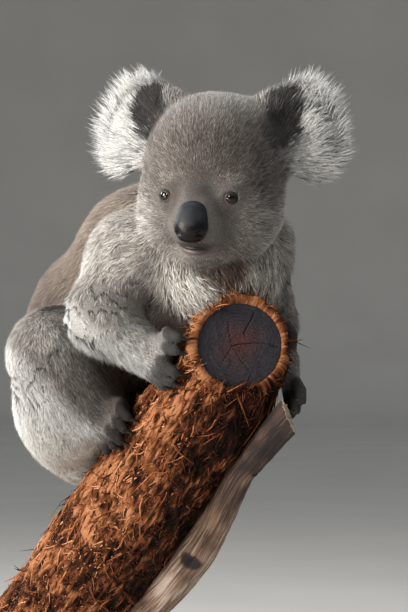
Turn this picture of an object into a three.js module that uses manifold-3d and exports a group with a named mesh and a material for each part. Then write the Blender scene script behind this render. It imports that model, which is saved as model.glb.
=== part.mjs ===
// A life-size koala sitting on a leaning sawn log, held up by a plain display stand.
// Millimetres, +Z up, origin under the middle of the stand's base. The animal looks along -Y.
// Body, log and branch are laid out in the perch's own frame: its origin is the middle of the sawn end,
// +X points to the animal's left, +Y down the log towards its rump, and +Z out of the log's top side.
import * as THREE from "three";
import { mergeVertices } from "three/addons/utils/BufferGeometryUtils.js";
import Module from "manifold-3d";

const wasm = await Module();
wasm.setup();

// ---------------------------------------------------------------- driving sizes
const GAP = 0.4; // clearance between pieces that meet
const BASE = { width: 430, depth: 520, thick: 20, corner: 45, bevel: 3 };
const PERCH = { at: [112, -195, 450], lean: 36, heading: 29 };
const LOG = { length: 610, topRadius: 46.5, footRadius: 62, heartwood: 37.5, rim: 2, bow: 10, bowTo: 133 };
const COLLAR = { rise: 9, around: 140, along: 75, wide: 32, long: 55 }; // swelling at the branch's foot
const SAW = { acrossX: 0.285, acrossZ: 0.301, fades: 130 }; // slope of the sawn face and where it fades out
const ROD = { radius: 8, stations: [374, 560] };
const HEAD = { at: [88, -152, 601], yaw: -15, pitch: 5, roll: 2.5 };
const EYE = { radius: 7.6, half: 30, forward: 53, up: -9 };
const CLAW = { length: 12, root: 3.2, tip: 0.9 };

// Joints of the limbs in the perch's frame: [x, y, z, radius out to the tips of the coat].
const LIMBS = {
  right: {
    shoulder: [-52, 42, 132, 46],
    elbow: [-94, 64, 82, 37],
    wrist: [-62, 52, 28, 23],
    hip: [-46, 250, 100, 62],
    knee: [-96, 165, 106, 46],
    ankle: [-62, 172, 40, 27],
  },
  left: {
    shoulder: [66, 14, 128, 38],
    elbow: [86, 62, 70, 30],
    wrist: [64, 36, 6, 17],
    hip: [46, 250, 100, 62],
    knee: [96, 168, 104, 46],
    ankle: [64, 176, 38, 27],
  },
};

// Hands and feet in the log's own terms: [degrees round it from its top, millimetres down it, distance
// from its axis]. Degrees run towards the animal's right side. Each digit runs from knuckle to tip.
const HANDS = {
  right: {
    palm: [[64, 46, 66], [68, 32, 65]],
    palmRadius: 12.5,
    digits: [
      { name: "1", line: [[60, 25, 66], [69, 15, 66], [76, 7, 60]], radius: 7 },
      { name: "2", line: [[64, 33, 66], [76, 23, 66], [84, 17, 60]], radius: 7 },
      { name: "3", line: [[70, 38, 68], [87, 33, 68], [98, 30, 61]], radius: 7.2 },
      { name: "4", line: [[70, 47, 68], [88, 45, 68], [99, 43, 61]], radius: 7.2 },
      { name: "5", line: [[66, 55, 68], [83, 57, 68], [94, 56, 62]], radius: 7 },
    ],
  },
  left: {
    palm: [[-84, 30, 66], [-98, 40, 67]],
    palmRadius: 12.5,
    digits: [
      { name: "1", line: [[-76, 18, 65], [-64, 8, 66], [-56, 1, 61]], radius: 6.8 },
      { name: "2", line: [[-84, 18, 66], [-76, 6, 66], [-70, -3, 61]], radius: 6.8 },
      { name: "3", line: [[-104, 32, 69], [-116, 28, 73], [-125, 27, 77]], radius: 7 },
      { name: "4", line: [[-106, 41, 69], [-118, 39, 73], [-127, 39, 77]], radius: 7 },
      { name: "5", line: [[-104, 50, 69], [-115, 51, 73], [-124, 52, 76]], radius: 6.8 },
    ],
  },
};
const FEET = {
  palm: [[54, 170, 72], [60, 154, 71]],
  palmRadius: 15,
  digits: [
    { name: "1", line: [[60, 172, 72], [70, 182, 71], [77, 189, 66]], radius: 7.5, bare: true },
    { name: "2", line: [[58, 141, 72], [69, 136, 71], [78, 132, 65]], radius: 6.5 },
    { name: "3", line: [[60, 150, 72], [73, 147, 71], [82, 145, 65]], radius: 6.5 },
    { name: "4", line: [[62, 160, 72], [76, 160, 72], [85, 159, 65]], radius: 7.2 },
    { name: "5", line: [[60, 169, 72], [72, 172, 72], [81, 173, 65]], radius: 7.2 },
  ],
};

// ---------------------------------------------------------------- small helpers
const degrees = THREE.MathUtils.degToRad;
const vec = (p) => new THREE.Vector3(p[0], p[1], p[2]);
const mirrored = (p) => [-p[0], ...p.slice(1)];
const slimmer = (joint) => [...joint.slice(0, 3), joint[3] - 4]; // where a limb starts inside the one above

// How far the log's middle line stands off a straight one, a given way down it.
function bowAt(along) {
  const share = THREE.MathUtils.clamp(along / LOG.length, 0, 1);
  const rise = LOG.bow * Math.sin(Math.PI * share);
  return [rise * Math.sin(degrees(LOG.bowTo)), 0, rise * Math.cos(degrees(LOG.bowTo))];
}

// The log thickens quickly below the sawn end, then less and less.
function logRadiusAt(along) {
  const share = THREE.MathUtils.clamp(along / LOG.length, 0, 1);
  return THREE.MathUtils.lerp(LOG.topRadius, LOG.footRadius, 1 - (1 - share) ** 3);
}

function onLog([around, along, radius]) {
  const [x, , z] = bowAt(along);
  return [x - radius * Math.sin(degrees(around)), along, z + radius * Math.cos(degrees(around))];
}

// ---------------------------------------------------------------- rounded forms, as distances
// A cone with round ends between two joints, each [x, y, z, radius].
function segment(from, to) {
  const [a, b] = [vec(from), vec(to)];
  const line = b.clone().sub(a);
  return (p) => {
    const away = p.clone().sub(a);
    const t = THREE.MathUtils.clamp(away.dot(line) / line.lengthSq(), 0, 1);
    return away.addScaledVector(line, -t).length() - THREE.MathUtils.lerp(from[3], to[3], t);
  };
}

// An ellipsoid, turned by Euler angles in degrees where its axes lean.
function ellipsoid(centre, radii, turn = [0, 0, 0]) {
  const back = new THREE.Quaternion().setFromEuler(new THREE.Euler(...turn.map(degrees))).invert();
  return (p) => {
    const q = p.clone().sub(vec(centre)).applyQuaternion(back).divide(vec(radii));
    const near = q.length();
    return (near * (near - 1)) / Math.max(q.divide(vec(radii)).length(), 1e-6);
  };
}

// Several forms run together, their creases rounded over about the given width.
function blend(width, ...forms) {
  return (p) =>
    forms
      .map((form) => form(p))
      .reduce((a, b) => {
        const near = Math.max(0, width - Math.abs(a - b)) / width;
        return Math.min(a, b) - (near * near * width) / 4;
      });
}

// A form with another pressed out of it, the rim rounded in the same way.
function hollowed(width, form, hollow) {
  const both = blend(width, (p) => -form(p), hollow);
  return (p) => -both(p);
}

// ---------------------------------------------------------------- solids
function solidOf(geometry) {
  const bare = geometry.clone();
  bare.deleteAttribute("normal");
  bare.deleteAttribute("uv");
  const merged = mergeVertices(bare, 1e-3);
  const triVerts = new Uint32Array(merged.index.array);
  return new wasm.Manifold(new wasm.Mesh({ numProp: 3, vertProperties: merged.attributes.position.array, triVerts }));
}

// A sphere strung along a spine inside a form, each corner pushed out until it meets the form's surface,
// or stands off it by `grow`.
function skinOf(form, spine, sides, rings, grow = 0) {
  const curve = new THREE.CatmullRomCurve3(spine.map(vec));
  const whole = vec(spine[spine.length - 1]).sub(vec(spine[0])).normalize();
  const upright = new THREE.Quaternion().setFromUnitVectors(new THREE.Vector3(0, 1, 0), whole);
  const bend = new THREE.Quaternion();
  const geometry = new THREE.SphereGeometry(1, sides, rings);
  const corners = geometry.attributes.position;
  const step = 2;
  for (let i = 0; i < corners.count; i++) {
    const way = new THREE.Vector3().fromBufferAttribute(corners, i).multiplyScalar(1e6).round().divideScalar(1e6);
    const share = THREE.MathUtils.clamp((1 + way.y) / 2, 0, 1);
    bend.setFromUnitVectors(whole, curve.getTangentAt(share));
    way.applyQuaternion(upright).applyQuaternion(bend);
    const start = curve.getPointAt(share);
    const reach = (t) => form(start.clone().addScaledVector(way, t)) - grow;
    let outside = step;
    while (reach(outside) < 0) outside += step;
    let inside = outside - step;
    for (let halving = 0; halving < 12; halving++) {
      const middle = (inside + outside) / 2;
      if (reach(middle) < 0) inside = middle;
      else outside = middle;
    }
    corners.setXYZ(i, ...start.addScaledVector(way, outside));
  }
  return solidOf(geometry);
}

// ---------------------------------------------------------------- groups, nodes and their clearances
const koala = new THREE.Group();
koala.name = "koala_on_perch";
const perch = new THREE.Group();
perch.position.set(...PERCH.at);
perch.rotation.set(degrees(-PERCH.lean), 0, degrees(PERCH.heading), "ZXY");
const head = new THREE.Group();
head.position.set(...HEAD.at);
head.rotation.set(degrees(HEAD.pitch), degrees(HEAD.roll), degrees(HEAD.yaw), "ZXY");
koala.add(perch, head);
koala.updateMatrixWorld(true);

const laid = []; // what later pieces keep clear of, in the stand's frame

// Adds a node to a group. `make(grow)` returns its solid in the group's frame, `grow` larger all round:
// the piece keeps its gap to all that was laid before it, and crumbs that a cut leaves loose are dropped.
function lay(name, group, finish, make) {
  group.updateMatrixWorld(true);
  const [out, back] = [group.matrixWorld, group.matrixWorld.clone().invert()];
  const clear = laid.reduce((left, other) => left.subtract(other), make(0).transform(out.elements));
  laid.push(make(GAP).transform(out.elements));
  const whole = clear.decompose().reduce((a, b) => (b.volume() > a.volume() ? b : a));
  const { vertProperties, triVerts } = whole.transform(back.elements).getMesh();
  const geometry = new THREE.BufferGeometry();
  geometry.setAttribute("position", new THREE.BufferAttribute(new Float32Array(vertProperties), 3));
  geometry.setIndex(new THREE.BufferAttribute(new Uint32Array(triVerts), 1));
  geometry.computeVertexNormals();
  const [color, roughness, metalness] = finish;
  const mesh = new THREE.Mesh(geometry, new THREE.MeshStandardMaterial({ color, roughness, metalness }));
  mesh.name = name;
  group.add(mesh);
}

const FINISH = {
  greyCoat: [0x7d7974, 0.95, 0],
  brownCoat: [0x9c8c80, 0.95, 0],
  paleCoat: [0xb9b5ae, 0.95, 0],
  nose: [0x2c2e32, 0.45, 0],
  eye: [0x251d1d, 0.12, 0],
  claw: [0x1f1f22, 0.3, 0],
  bark: [0x7a4c35, 0.95, 0],
  dryWood: [0x8a7267, 0.85, 0],
  plate: [0xd8d5cf, 0.6, 0],
  rod: [0xb4b6b8, 0.35, 1],
};

// ---------------------------------------------------------------- perch
// Ridges of bark: a few long waves round and down the log, and the swelling at the foot of the branch.
function barkAt(around, along) {
  const long = Math.sin(3 * around + along / 70) + 0.7 * Math.sin(5 * around - along / 43 + 1);
  const aside = THREE.MathUtils.euclideanModulo(THREE.MathUtils.radToDeg(around) - COLLAR.around + 180, 360) - 180;
  const collar = Math.exp(-((aside / COLLAR.wide) ** 2) - ((along - COLLAR.along) / COLLAR.long) ** 2);
  return 1.3 * long + 0.8 * Math.sin(9 * around + along / 29 + 2) + COLLAR.rise * collar;
}

function makeLog(grow) {
  const { length, topRadius, footRadius, heartwood, rim } = LOG;
  const profile = [
    [0, -grow],
    [heartwood + 0.5 - grow, -grow],
    [heartwood + 2 - grow, -rim - grow],
    [topRadius - 3, -rim - grow],
    [topRadius + grow, 4],
  ];
  const bands = 11;
  for (let band = 1; band <= bands; band++) {
    const along = 4 + (length - 6) * (band / bands) ** 1.3;
    profile.push([logRadiusAt(along) + grow, along]);
  }
  profile.push([footRadius - 4, length + grow], [0, length + grow]);
  const geometry = new THREE.LatheGeometry(profile.map(([r, y]) => new THREE.Vector2(r, y)), 22);
  const corners = geometry.attributes.position;
  for (let i = 0; i < corners.count; i++) {
    const [x, y, z] = [corners.getX(i), corners.getY(i), corners.getZ(i)];
    const radius = Math.hypot(x, z);
    const ridge = radius > topRadius - 4 ? 1 + barkAt(Math.atan2(x, z), y) / radius : 1;
    const cut = Math.max(0, 1 - y / SAW.fades) * (SAW.acrossX * x + SAW.acrossZ * z);
    const [bowX, , bowZ] = bowAt(y);
    corners.setXYZ(i, x * ridge + bowX, y - cut, z * ridge + bowZ);
  }
  return solidOf(geometry);
}

// The dead branch that lies along the underside of the log and grows into it.
function makeBranch(grow) {
  const joints = [
    [39, 26, -67, 14],
    [41, 88, -62, 14],
    [39, 128, -61, 14.5],
    [45, 208, -67, 16],
    [47, 275, -69, 18.5],
    [41, 360, -67, 21],
    [24, 460, -54, 22],
    [16, 520, -42, 18],
  ];
  const lengths = joints.slice(1).map((joint, i) => segment(joints[i], joint));
  return skinOf(blend(12, ...lengths), joints, 9, 12, grow);
}

lay("perch_log", perch, FINISH.bark, makeLog);
lay("perch_branch", perch, FINISH.dryWood, makeBranch);

// ---------------------------------------------------------------- stand
function makeBase(grow) {
  const [w, d, r] = [BASE.width / 2 - BASE.bevel, BASE.depth / 2 - BASE.bevel, BASE.corner];
  const outline = new THREE.Shape();
  outline.moveTo(r - w, -d);
  outline.absarc(w - r, r - d, r, -Math.PI / 2, 0);
  outline.absarc(w - r, d - r, r, 0, Math.PI / 2);
  outline.absarc(r - w, d - r, r, Math.PI / 2, Math.PI);
  outline.absarc(r - w, r - d, r, Math.PI, 1.5 * Math.PI);
  const { bevel, thick } = BASE;
  const geometry = new THREE.ExtrudeGeometry(outline, {
    depth: thick - 2 * bevel,
    bevelThickness: bevel,
    bevelSize: bevel,
    bevelSegments: 1,
    curveSegments: 3,
  });
  geometry.translate(0, 0, bevel);
  const solid = solidOf(mergeVertices(geometry));
  return grow ? solid.add(solid.translate([0, 0, grow])) : solid;
}

const stand = new THREE.Group();
koala.add(stand);
lay("stand_base", stand, FINISH.plate, makeBase);
ROD.stations.forEach((along, i) => {
  const foot = perch.localToWorld(vec(onLog([0, along, 0])));
  const rod = new THREE.Group();
  rod.position.set(foot.x, foot.y, BASE.thick);
  koala.add(rod);
  lay(`stand_rod_${i + 1}`, rod, FINISH.rod, (grow) => {
    const height = foot.z - BASE.thick;
    const geometry = new THREE.CylinderGeometry(ROD.radius + grow, ROD.radius + grow, height, 12);
    return solidOf(geometry.rotateX(Math.PI / 2).translate(0, 0, height / 2));
  });
});

// ---------------------------------------------------------------- head
const HEAD_FORM = blend(
  24,
  ellipsoid([0, 10, 18], [68, 70, 66]),
  ellipsoid([-32, -16, -20], [38, 40, 43]),
  ellipsoid([34, -16, -20], [38, 40, 44]),
  ellipsoid([0, 2, -34], [52, 50, 42]),
);
const MUZZLE_FORM = blend(14, ellipsoid([0, -56, -34], [30, 29, 27]), ellipsoid([0, -52, -14], [19, 23, 19]));
const CHIN_FORM = blend(8, ellipsoid([0, -50, -58], [22, 25, 14]), ellipsoid([0, -30, -60], [30, 26, 18]));
const NOSE_FORM = blend(
  8,
  ellipsoid([0, -81, -38], [16.5, 12, 13]),
  ellipsoid([0, -79, -28], [16, 11.5, 13]),
  ellipsoid([0, -75, -18], [13.5, 10, 9.5]),
);

function earForm(side) {
  const turn = [-12, side * -14, side * 20];
  const shell = ellipsoid([side * 81, 18, 54], [46, 17, 55], turn);
  const root = ellipsoid([side * 48, 16, 70], [27, 14, 27]);
  return hollowed(8, blend(16, shell, root), ellipsoid([side * 74, -2, 44], [22, 13, 27], turn));
}

for (const [name, side] of [["right", -1], ["left", 1]]) {
  lay(`eye_${name}`, head, FINISH.eye, (grow) => {
    const centre = [side * EYE.half, -EYE.forward, EYE.up];
    const spine = [[centre[0], centre[1] + 0.5, centre[2]], [centre[0], centre[1] - 0.5, centre[2]]];
    return skinOf(ellipsoid(centre, [EYE.radius, EYE.radius, EYE.radius]), spine, 8, 5, grow);
  });
}
lay("head", head, FINISH.greyCoat, (grow) => skinOf(HEAD_FORM, [[0, 20, 0], [0, -24, 0]], 19, 11, grow));
lay("nose", head, FINISH.nose, (grow) => skinOf(NOSE_FORM, [[0, -74, -18], [0, -78, -42]], 10, 8, grow));
lay("muzzle", head, FINISH.greyCoat, (grow) => skinOf(MUZZLE_FORM, [[0, -44, -28], [0, -60, -34]], 12, 7, grow));
lay("chin", head, FINISH.paleCoat, (grow) => skinOf(CHIN_FORM, [[0, -34, -60], [0, -54, -58]], 10, 6, grow));
for (const [name, side] of [["right", -1], ["left", 1]]) {
  const spine = [[side * 70, 20, 28], [side * 84, 20, 76]];
  lay(`ear_${name}`, head, FINISH.paleCoat, (grow) => skinOf(earForm(side), spine, 14, 9, grow));
}

// ---------------------------------------------------------------- body
const NECK_FORM = segment([4, -38, 136, 50], [8, 20, 134, 66]);
const TRUNK_FORM = blend(
  36,
  ellipsoid([16, 22, 104], [66, 62, 66]),
  ellipsoid([0, 100, 159], [82, 94, 92]),
  ellipsoid([0, 205, 156], [92, 104, 102]),
);
const RUMP_FORM = blend(16, segment([0, 262, 140, 86], [0, 288, 127, 82]), ellipsoid([0, 298, 98], [56, 52, 54]));

lay("neck", perch, FINISH.paleCoat, (grow) => skinOf(NECK_FORM, [[4, -38, 136], [8, 20, 134]], 14, 7, grow));
lay("trunk", perch, FINISH.brownCoat, (grow) => {
  return skinOf(TRUNK_FORM, [[14, 30, 108], [2, 105, 145], [0, 205, 150]], 18, 12, grow);
});
lay("rump", perch, FINISH.paleCoat, (grow) => skinOf(RUMP_FORM, [[0, 262, 138], [0, 296, 110]], 18, 9, grow));

// ---------------------------------------------------------------- limbs
function limb(name, form, spine, sides, rings) {
  lay(name, perch, FINISH.greyCoat, (grow) => skinOf(form, spine, sides, rings, grow));
}

// A hand or foot: a palm with its digits in one piece, and a claw at the end of each clawed digit.
function extremity(name, { palm, palmRadius, digits }) {
  const palmEnds = palm.map((end) => [...onLog(end), palmRadius]);
  lay(name, perch, FINISH.greyCoat, (grow) => {
    const parts = digits.map(({ line, radius }) => {
      const joints = line.map((joint, i) => [...onLog(joint), radius * (1 - 0.1 * i)]);
      const form = blend(3, segment(joints[0], joints[1]), segment(joints[1], joints[2]));
      return skinOf(form, joints, 6, 4, grow);
    });
    const pad = skinOf(segment(...palmEnds), palmEnds, 8, 5, grow);
    return parts.reduce((whole, part) => whole.add(part), pad);
  });
  for (const { name: digit, line, radius, bare } of digits) {
    if (bare) continue;
    const [knuckle, tip] = [line[1], line[2]].map((joint) => vec(onLog(joint)));
    const onward = tip.clone().sub(knuckle).normalize();
    const inward = vec(bowAt(tip.y)).setY(tip.y).sub(tip).normalize();
    const points = [0.35, 0.7, 1].map((share, i) => {
      const place = tip.clone().addScaledVector(onward, CLAW.length * share).addScaledVector(inward, 1.6 * i);
      return [...place, THREE.MathUtils.lerp(CLAW.root, CLAW.tip, i / 2) * (radius / 6.5)];
    });
    const form = blend(1, segment(points[0], points[1]), segment(points[1], points[2]));
    lay(`${name}_claw_${digit}`, perch, FINISH.claw, (grow) => skinOf(form, points, 5, 4, grow));
  }
}

for (const [name, side] of [["right", -1], ["left", 1]]) {
  const { shoulder, elbow, wrist, hip, knee, ankle } = LIMBS[name];
  const upperArm = blend(20, segment(shoulder, elbow), segment([side * 40, 40, 128, 40], shoulder));
  const haunch = blend(30, segment(hip, knee), ellipsoid([side * 72, 208, 72], [48, 54, 48]));
  limb(`thigh_${name}`, haunch, [hip, knee], 15, 9);
  limb(`upper_arm_${name}`, upperArm, [shoulder, elbow], 14, 8);
  limb(`forearm_${name}`, segment(slimmer(elbow), wrist), [elbow, wrist], 12, 7);
  limb(`shank_${name}`, segment(slimmer(knee), ankle), [knee, ankle], 12, 7);
  extremity(`hand_${name}`, HANDS[name]);
  extremity(`foot_${name}`, name === "right" ? FEET : otherSide(FEET));
}

// The same foot on the log's other side.
function otherSide({ palm, palmRadius, digits }) {
  return {
    palm: palm.map(mirrored),
    palmRadius,
    digits: digits.map((digit) => ({ ...digit, line: digit.line.map(mirrored) })),
  };
}

export default koala;
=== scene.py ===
"""A life-size koala on a leaning sawn log, with its coat, its perch and a plain display stand.

Shapes are worked out in millimetres and put into the row's frame in metres. Body, log and branch are laid
out in the perch's own frame: its origin is the middle of the sawn end, +X points to the animal's left, +Y
down the log towards its rump, and +Z out of the log's top side. Face and ears are laid out in the head's own
frame.
"""

import math

import bpy
import numpy as np
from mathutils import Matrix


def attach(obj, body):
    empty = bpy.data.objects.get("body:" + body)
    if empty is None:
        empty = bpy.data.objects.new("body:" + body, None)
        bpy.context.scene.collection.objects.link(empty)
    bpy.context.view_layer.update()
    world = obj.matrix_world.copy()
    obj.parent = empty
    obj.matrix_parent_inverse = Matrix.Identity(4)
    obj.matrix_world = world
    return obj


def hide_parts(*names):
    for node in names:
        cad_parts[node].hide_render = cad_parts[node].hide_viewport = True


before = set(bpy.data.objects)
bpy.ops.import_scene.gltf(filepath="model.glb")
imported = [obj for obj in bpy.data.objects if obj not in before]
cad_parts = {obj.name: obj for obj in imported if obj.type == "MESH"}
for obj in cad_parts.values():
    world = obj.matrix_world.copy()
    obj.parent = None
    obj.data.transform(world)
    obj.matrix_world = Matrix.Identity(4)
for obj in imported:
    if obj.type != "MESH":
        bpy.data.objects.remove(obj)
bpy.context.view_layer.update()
MM = 0.001


# ------------------------------------------------------------------ frames
def turned(x=0.0, y=0.0, z=0.0, order="ZXY"):
    """The turn by these degrees about X, Y and Z, multiplied in the given order."""
    (cx, sx), (cy, sy), (cz, sz) = [(math.cos(math.radians(a)), math.sin(math.radians(a)))
                                    for a in (x, y, z)]
    turns = {
        "X": np.array([[1, 0, 0], [0, cx, -sx], [0, sx, cx]]),
        "Y": np.array([[cy, 0, sy], [0, 1, 0], [-sy, 0, cy]]),
        "Z": np.array([[cz, -sz, 0], [sz, cz, 0], [0, 0, 1]]),
    }
    return turns[order[0]] @ turns[order[1]] @ turns[order[2]]


HOMES = {
    "perch": (np.array([112.0, -195.0, 450.0]), turned(x=-36, z=29)),
    "head": (np.array([88.0, -152.0, 601.0]), turned(x=5, y=2.5, z=-15)),
    "stand": (np.zeros(3), np.eye(3)),
}


def place(points, home):
    """Points of a home's own frame, in the stand's frame."""
    at, turn = HOMES[home]
    return np.asarray(points, float) @ turn.T + at


def within(points, home):
    """Points of the stand's frame, in a home's own frame."""
    at, turn = HOMES[home]
    return (points - at) @ turn


def within_turn(directions, home):
    """Directions of the stand's frame, in a home's own frame."""
    return directions @ HOMES[home][1]


def unit(vectors):
    """Each row at length 1."""
    return vectors / np.maximum(np.linalg.norm(vectors, axis=-1, keepdims=True), 1e-9)


def ease(value, low, high):
    """0 below low, 1 above high, and a smooth step between."""
    share = np.clip((value - low) / (high - low), 0, 1)
    return share * share * (3 - 2 * share)


# ------------------------------------------------------------------ the animal's sizes
LIMBS = {
    "right": {
        "shoulder": [-52, 42, 132, 46],
        "elbow": [-94, 64, 82, 37],
        "wrist": [-62, 52, 28, 23],
        "hip": [-46, 250, 100, 62],
        "knee": [-96, 165, 106, 46],
        "ankle": [-62, 172, 40, 27],
    },
    "left": {
        "shoulder": [66, 14, 128, 38],
        "elbow": [86, 62, 70, 30],
        "wrist": [64, 36, 6, 17],
        "hip": [46, 250, 100, 62],
        "knee": [96, 168, 104, 46],
        "ankle": [64, 176, 38, 27],
    },
}
# Hands and feet in the log's own terms: [degrees round it from its top, millimetres down it, distance from
# its axis]. Degrees run towards the animal's right side. Each digit: its line from knuckle to tip, and
# its radius.
HANDS = {
    "right": {
        "palm": [[64, 46, 66], [68, 32, 65]],
        "digits": [
            ([[60, 25, 66], [69, 15, 66], [76, 7, 60]], 7),
            ([[64, 33, 66], [76, 23, 66], [84, 17, 60]], 7),
            ([[70, 38, 68], [87, 33, 68], [98, 30, 61]], 7.2),
            ([[70, 47, 68], [88, 45, 68], [99, 43, 61]], 7.2),
            ([[66, 55, 68], [83, 57, 68], [94, 56, 62]], 7),
        ],
    },
    "left": {
        "palm": [[-84, 30, 66], [-98, 40, 67]],
        "digits": [
            ([[-76, 18, 65], [-64, 8, 66], [-56, 1, 61]], 6.8),
            ([[-84, 18, 66], [-76, 6, 66], [-70, -3, 61]], 6.8),
            ([[-104, 32, 69], [-116, 28, 73], [-125, 27, 77]], 7),
            ([[-106, 41, 69], [-118, 39, 73], [-127, 39, 77]], 7),
            ([[-104, 50, 69], [-115, 51, 73], [-124, 52, 76]], 6.8),
        ],
    },
}
FOOT = {
    "palm": [[54, 170, 72], [60, 154, 71]],
    "digits": [
        ([[60, 172, 72], [70, 182, 71], [77, 189, 66]], 7.5),
        ([[58, 141, 72], [69, 136, 71], [78, 132, 65]], 6.5),
        ([[60, 150, 72], [73, 147, 71], [82, 145, 65]], 6.5),
        ([[62, 160, 72], [76, 160, 72], [85, 159, 65]], 7.2),
        ([[60, 169, 72], [72, 172, 72], [81, 173, 65]], 7.2),
    ],
}
HAND_PAD, FOOT_PAD = 12.5, 15
LOG = {"length": 610, "top": 46.5, "foot": 62, "heart": 38.5, "rim": 2, "bow": 10, "bow_to": 133}
COLLAR = {"rise": 9, "around": 140, "along": 75, "wide": 32, "long": 55}
SAW = {"across_x": 0.285, "across_z": 0.301, "fades": 130}
STAND = {"half_x": 215.0, "half_y": 260.0, "corner": 45.0, "thick": 20.0, "bevel": 3.0,
         "rods_at": (374, 560)}
EYE = {"radius": 7.6, "half": 30, "forward": 53, "up": -9}
CLAW = {"length": 9.5, "root": 3.0, "tip": 0.5}


def bow_at(along):
    """How far the log's middle line stands off a straight one, for each distance down it."""
    rise = LOG["bow"] * np.sin(np.pi * np.clip(along / LOG["length"], 0, 1))
    to = math.radians(LOG["bow_to"])
    return rise * math.sin(to), rise * math.cos(to)


def log_radius(along):
    """The log's own radius: it thickens quickly below the sawn end, then less and less."""
    share = np.clip(along / LOG["length"], 0, 1)
    return LOG["top"] + (LOG["foot"] - LOG["top"]) * (1 - (1 - share) ** 3)


def on_log(spot):
    """A place in the log's own terms, in the perch's frame."""
    around, along, radius = spot
    x, z = bow_at(along)
    angle = math.radians(around)
    return [x - radius * math.sin(angle), along, z + radius * math.cos(angle)]


# ------------------------------------------------------------------ rounded forms, as distances
def cone(start, end):
    """A cone with round ends between two joints, each [x, y, z, radius]. The coat lies along it."""
    start, end = np.array(start, float), np.array(end, float)
    line = end[:3] - start[:3]

    def distance(points):
        away = points - start[:3]
        share = np.clip(away @ line / (line @ line), 0, 1)
        radius = start[3] + (end[3] - start[3]) * share
        return np.linalg.norm(away - share[:, None] * line, axis=1) - radius

    distance.bounds = [(start[:3], start[3]), (end[:3], end[3])]
    distance.way = line / np.linalg.norm(line)
    return distance


def ball(centre, radii, turn=None):
    """An ellipsoid."""
    centre, radii = np.array(centre, float), np.array(radii, float)

    def distance(points):
        q = points - centre
        if turn is not None:
            q = q @ turn
        q = q / radii
        near = np.linalg.norm(q, axis=1)
        return near * (near - 1) / np.maximum(np.linalg.norm(q / radii, axis=1), 1e-6)

    distance.bounds = [(centre, radii.max())]
    distance.way = np.array([0.0, 1.0, 0.0])
    return distance


def joined(a, b, width):
    """Two distances run together, the crease between them rounded over about that width."""
    near = np.maximum(0, width - np.abs(a - b)) / width
    return np.minimum(a, b) - near * near * width / 4


class Form:
    """One part of the body: its shape, how deep the coat on it is, and how the hair lies."""

    def __init__(self, name, home, parts, width, join, depth, lie=None, hollow=None):
        self.name, self.home, self.parts, self.width, self.join = name, home, parts, width, join
        self.depth, self.lie, self.hollow = depth, lie, hollow

    def distance(self, points, local=False):
        own = points if local else within(points, self.home)
        found = self.parts[0](own)
        for part in self.parts[1:]:
            found = joined(found, part(own), self.width)
        if self.hollow is not None:
            found = -joined(-found, self.hollow(own), 6)
        return found

    def box(self, margin):
        balls = [held for part in self.parts for held in part.bounds]
        centres = place([centre for centre, _ in balls], self.home)
        reach = np.array([radius for _, radius in balls])[:, None] + margin
        return (centres - reach).min(0), (centres + reach).max(0)

    def flow(self, points):
        """Which way the hair lies at these points, before it is laid along the skin."""
        own = within(points, self.home)
        if self.lie is not None:
            ways = self.lie(own)
        else:
            ways = sum(np.exp(-part(own) / 4)[:, None] * part.way for part in self.parts)
        return unit(ways) @ HOMES[self.home][1].T


def hair_of_trunk(own):
    """Back along the body, down its sides, and straight down on the chest and the end of the rump."""
    back = ease(own[:, 1], -10, 70)
    ways = np.zeros_like(own)
    ways[:, 1] = back - 0.15
    ways[:, 2] = -0.45 - 0.5 * (1 - back) - 0.4 * ease(own[:, 1], 230, 330)
    ways[:, 0] = 0.35 * np.sign(own[:, 0]) * back
    return ways


def hair_of_head(own):
    """Away from the nose, over the crown and out over the cheeks."""
    ways = own - np.array([0, -84, -34])
    ways[:, 2] -= 10 * ease(own[:, 2], -20, -60)
    return ways


def hair_of_ear(side):
    """Out from the ear's root in every direction."""
    def lie(own):
        return own - np.array([side * 44, 16, 26])
    return lie


def hair_of_haunch(side):
    """Down the folded leg, from the knee over the haunch towards the rump and the foot."""
    def lie(own):
        ways = own - np.array([side * 96, 120, 150])
        ways[:, 2] -= 40
        return ways
    return lie


def digits_of(extremity, mirror=False):
    """The digit lines of a hand or foot in the perch's frame, each with its radius."""
    flip = np.array([-1, 1, 1]) if mirror else np.ones(3)
    return [([on_log(spot * flip) for spot in np.array(line)], radius) for line,
            radius in extremity["digits"]]


def paw_parts(extremity, pad, mirror=False):
    """The palm and the digits of one hand or foot as cones."""
    flip = np.array([-1, 1, 1]) if mirror else np.ones(3)
    heel, ball_of_palm = [[*on_log(spot * flip), pad] for spot in np.array(extremity["palm"])]
    parts = [cone(heel, ball_of_palm)]
    for line, radius in digits_of(extremity, mirror):
        joints = [[*joint, radius * (1, 1.06, 0.9)[i]] for i, joint in enumerate(line)]
        parts += [cone(joints[0], joints[1]), cone(joints[1], joints[2])]
    return parts


def slimmer(joint):
    """Where a limb starts inside the one above."""
    return [*joint[:3], joint[3] - 4]


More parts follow.
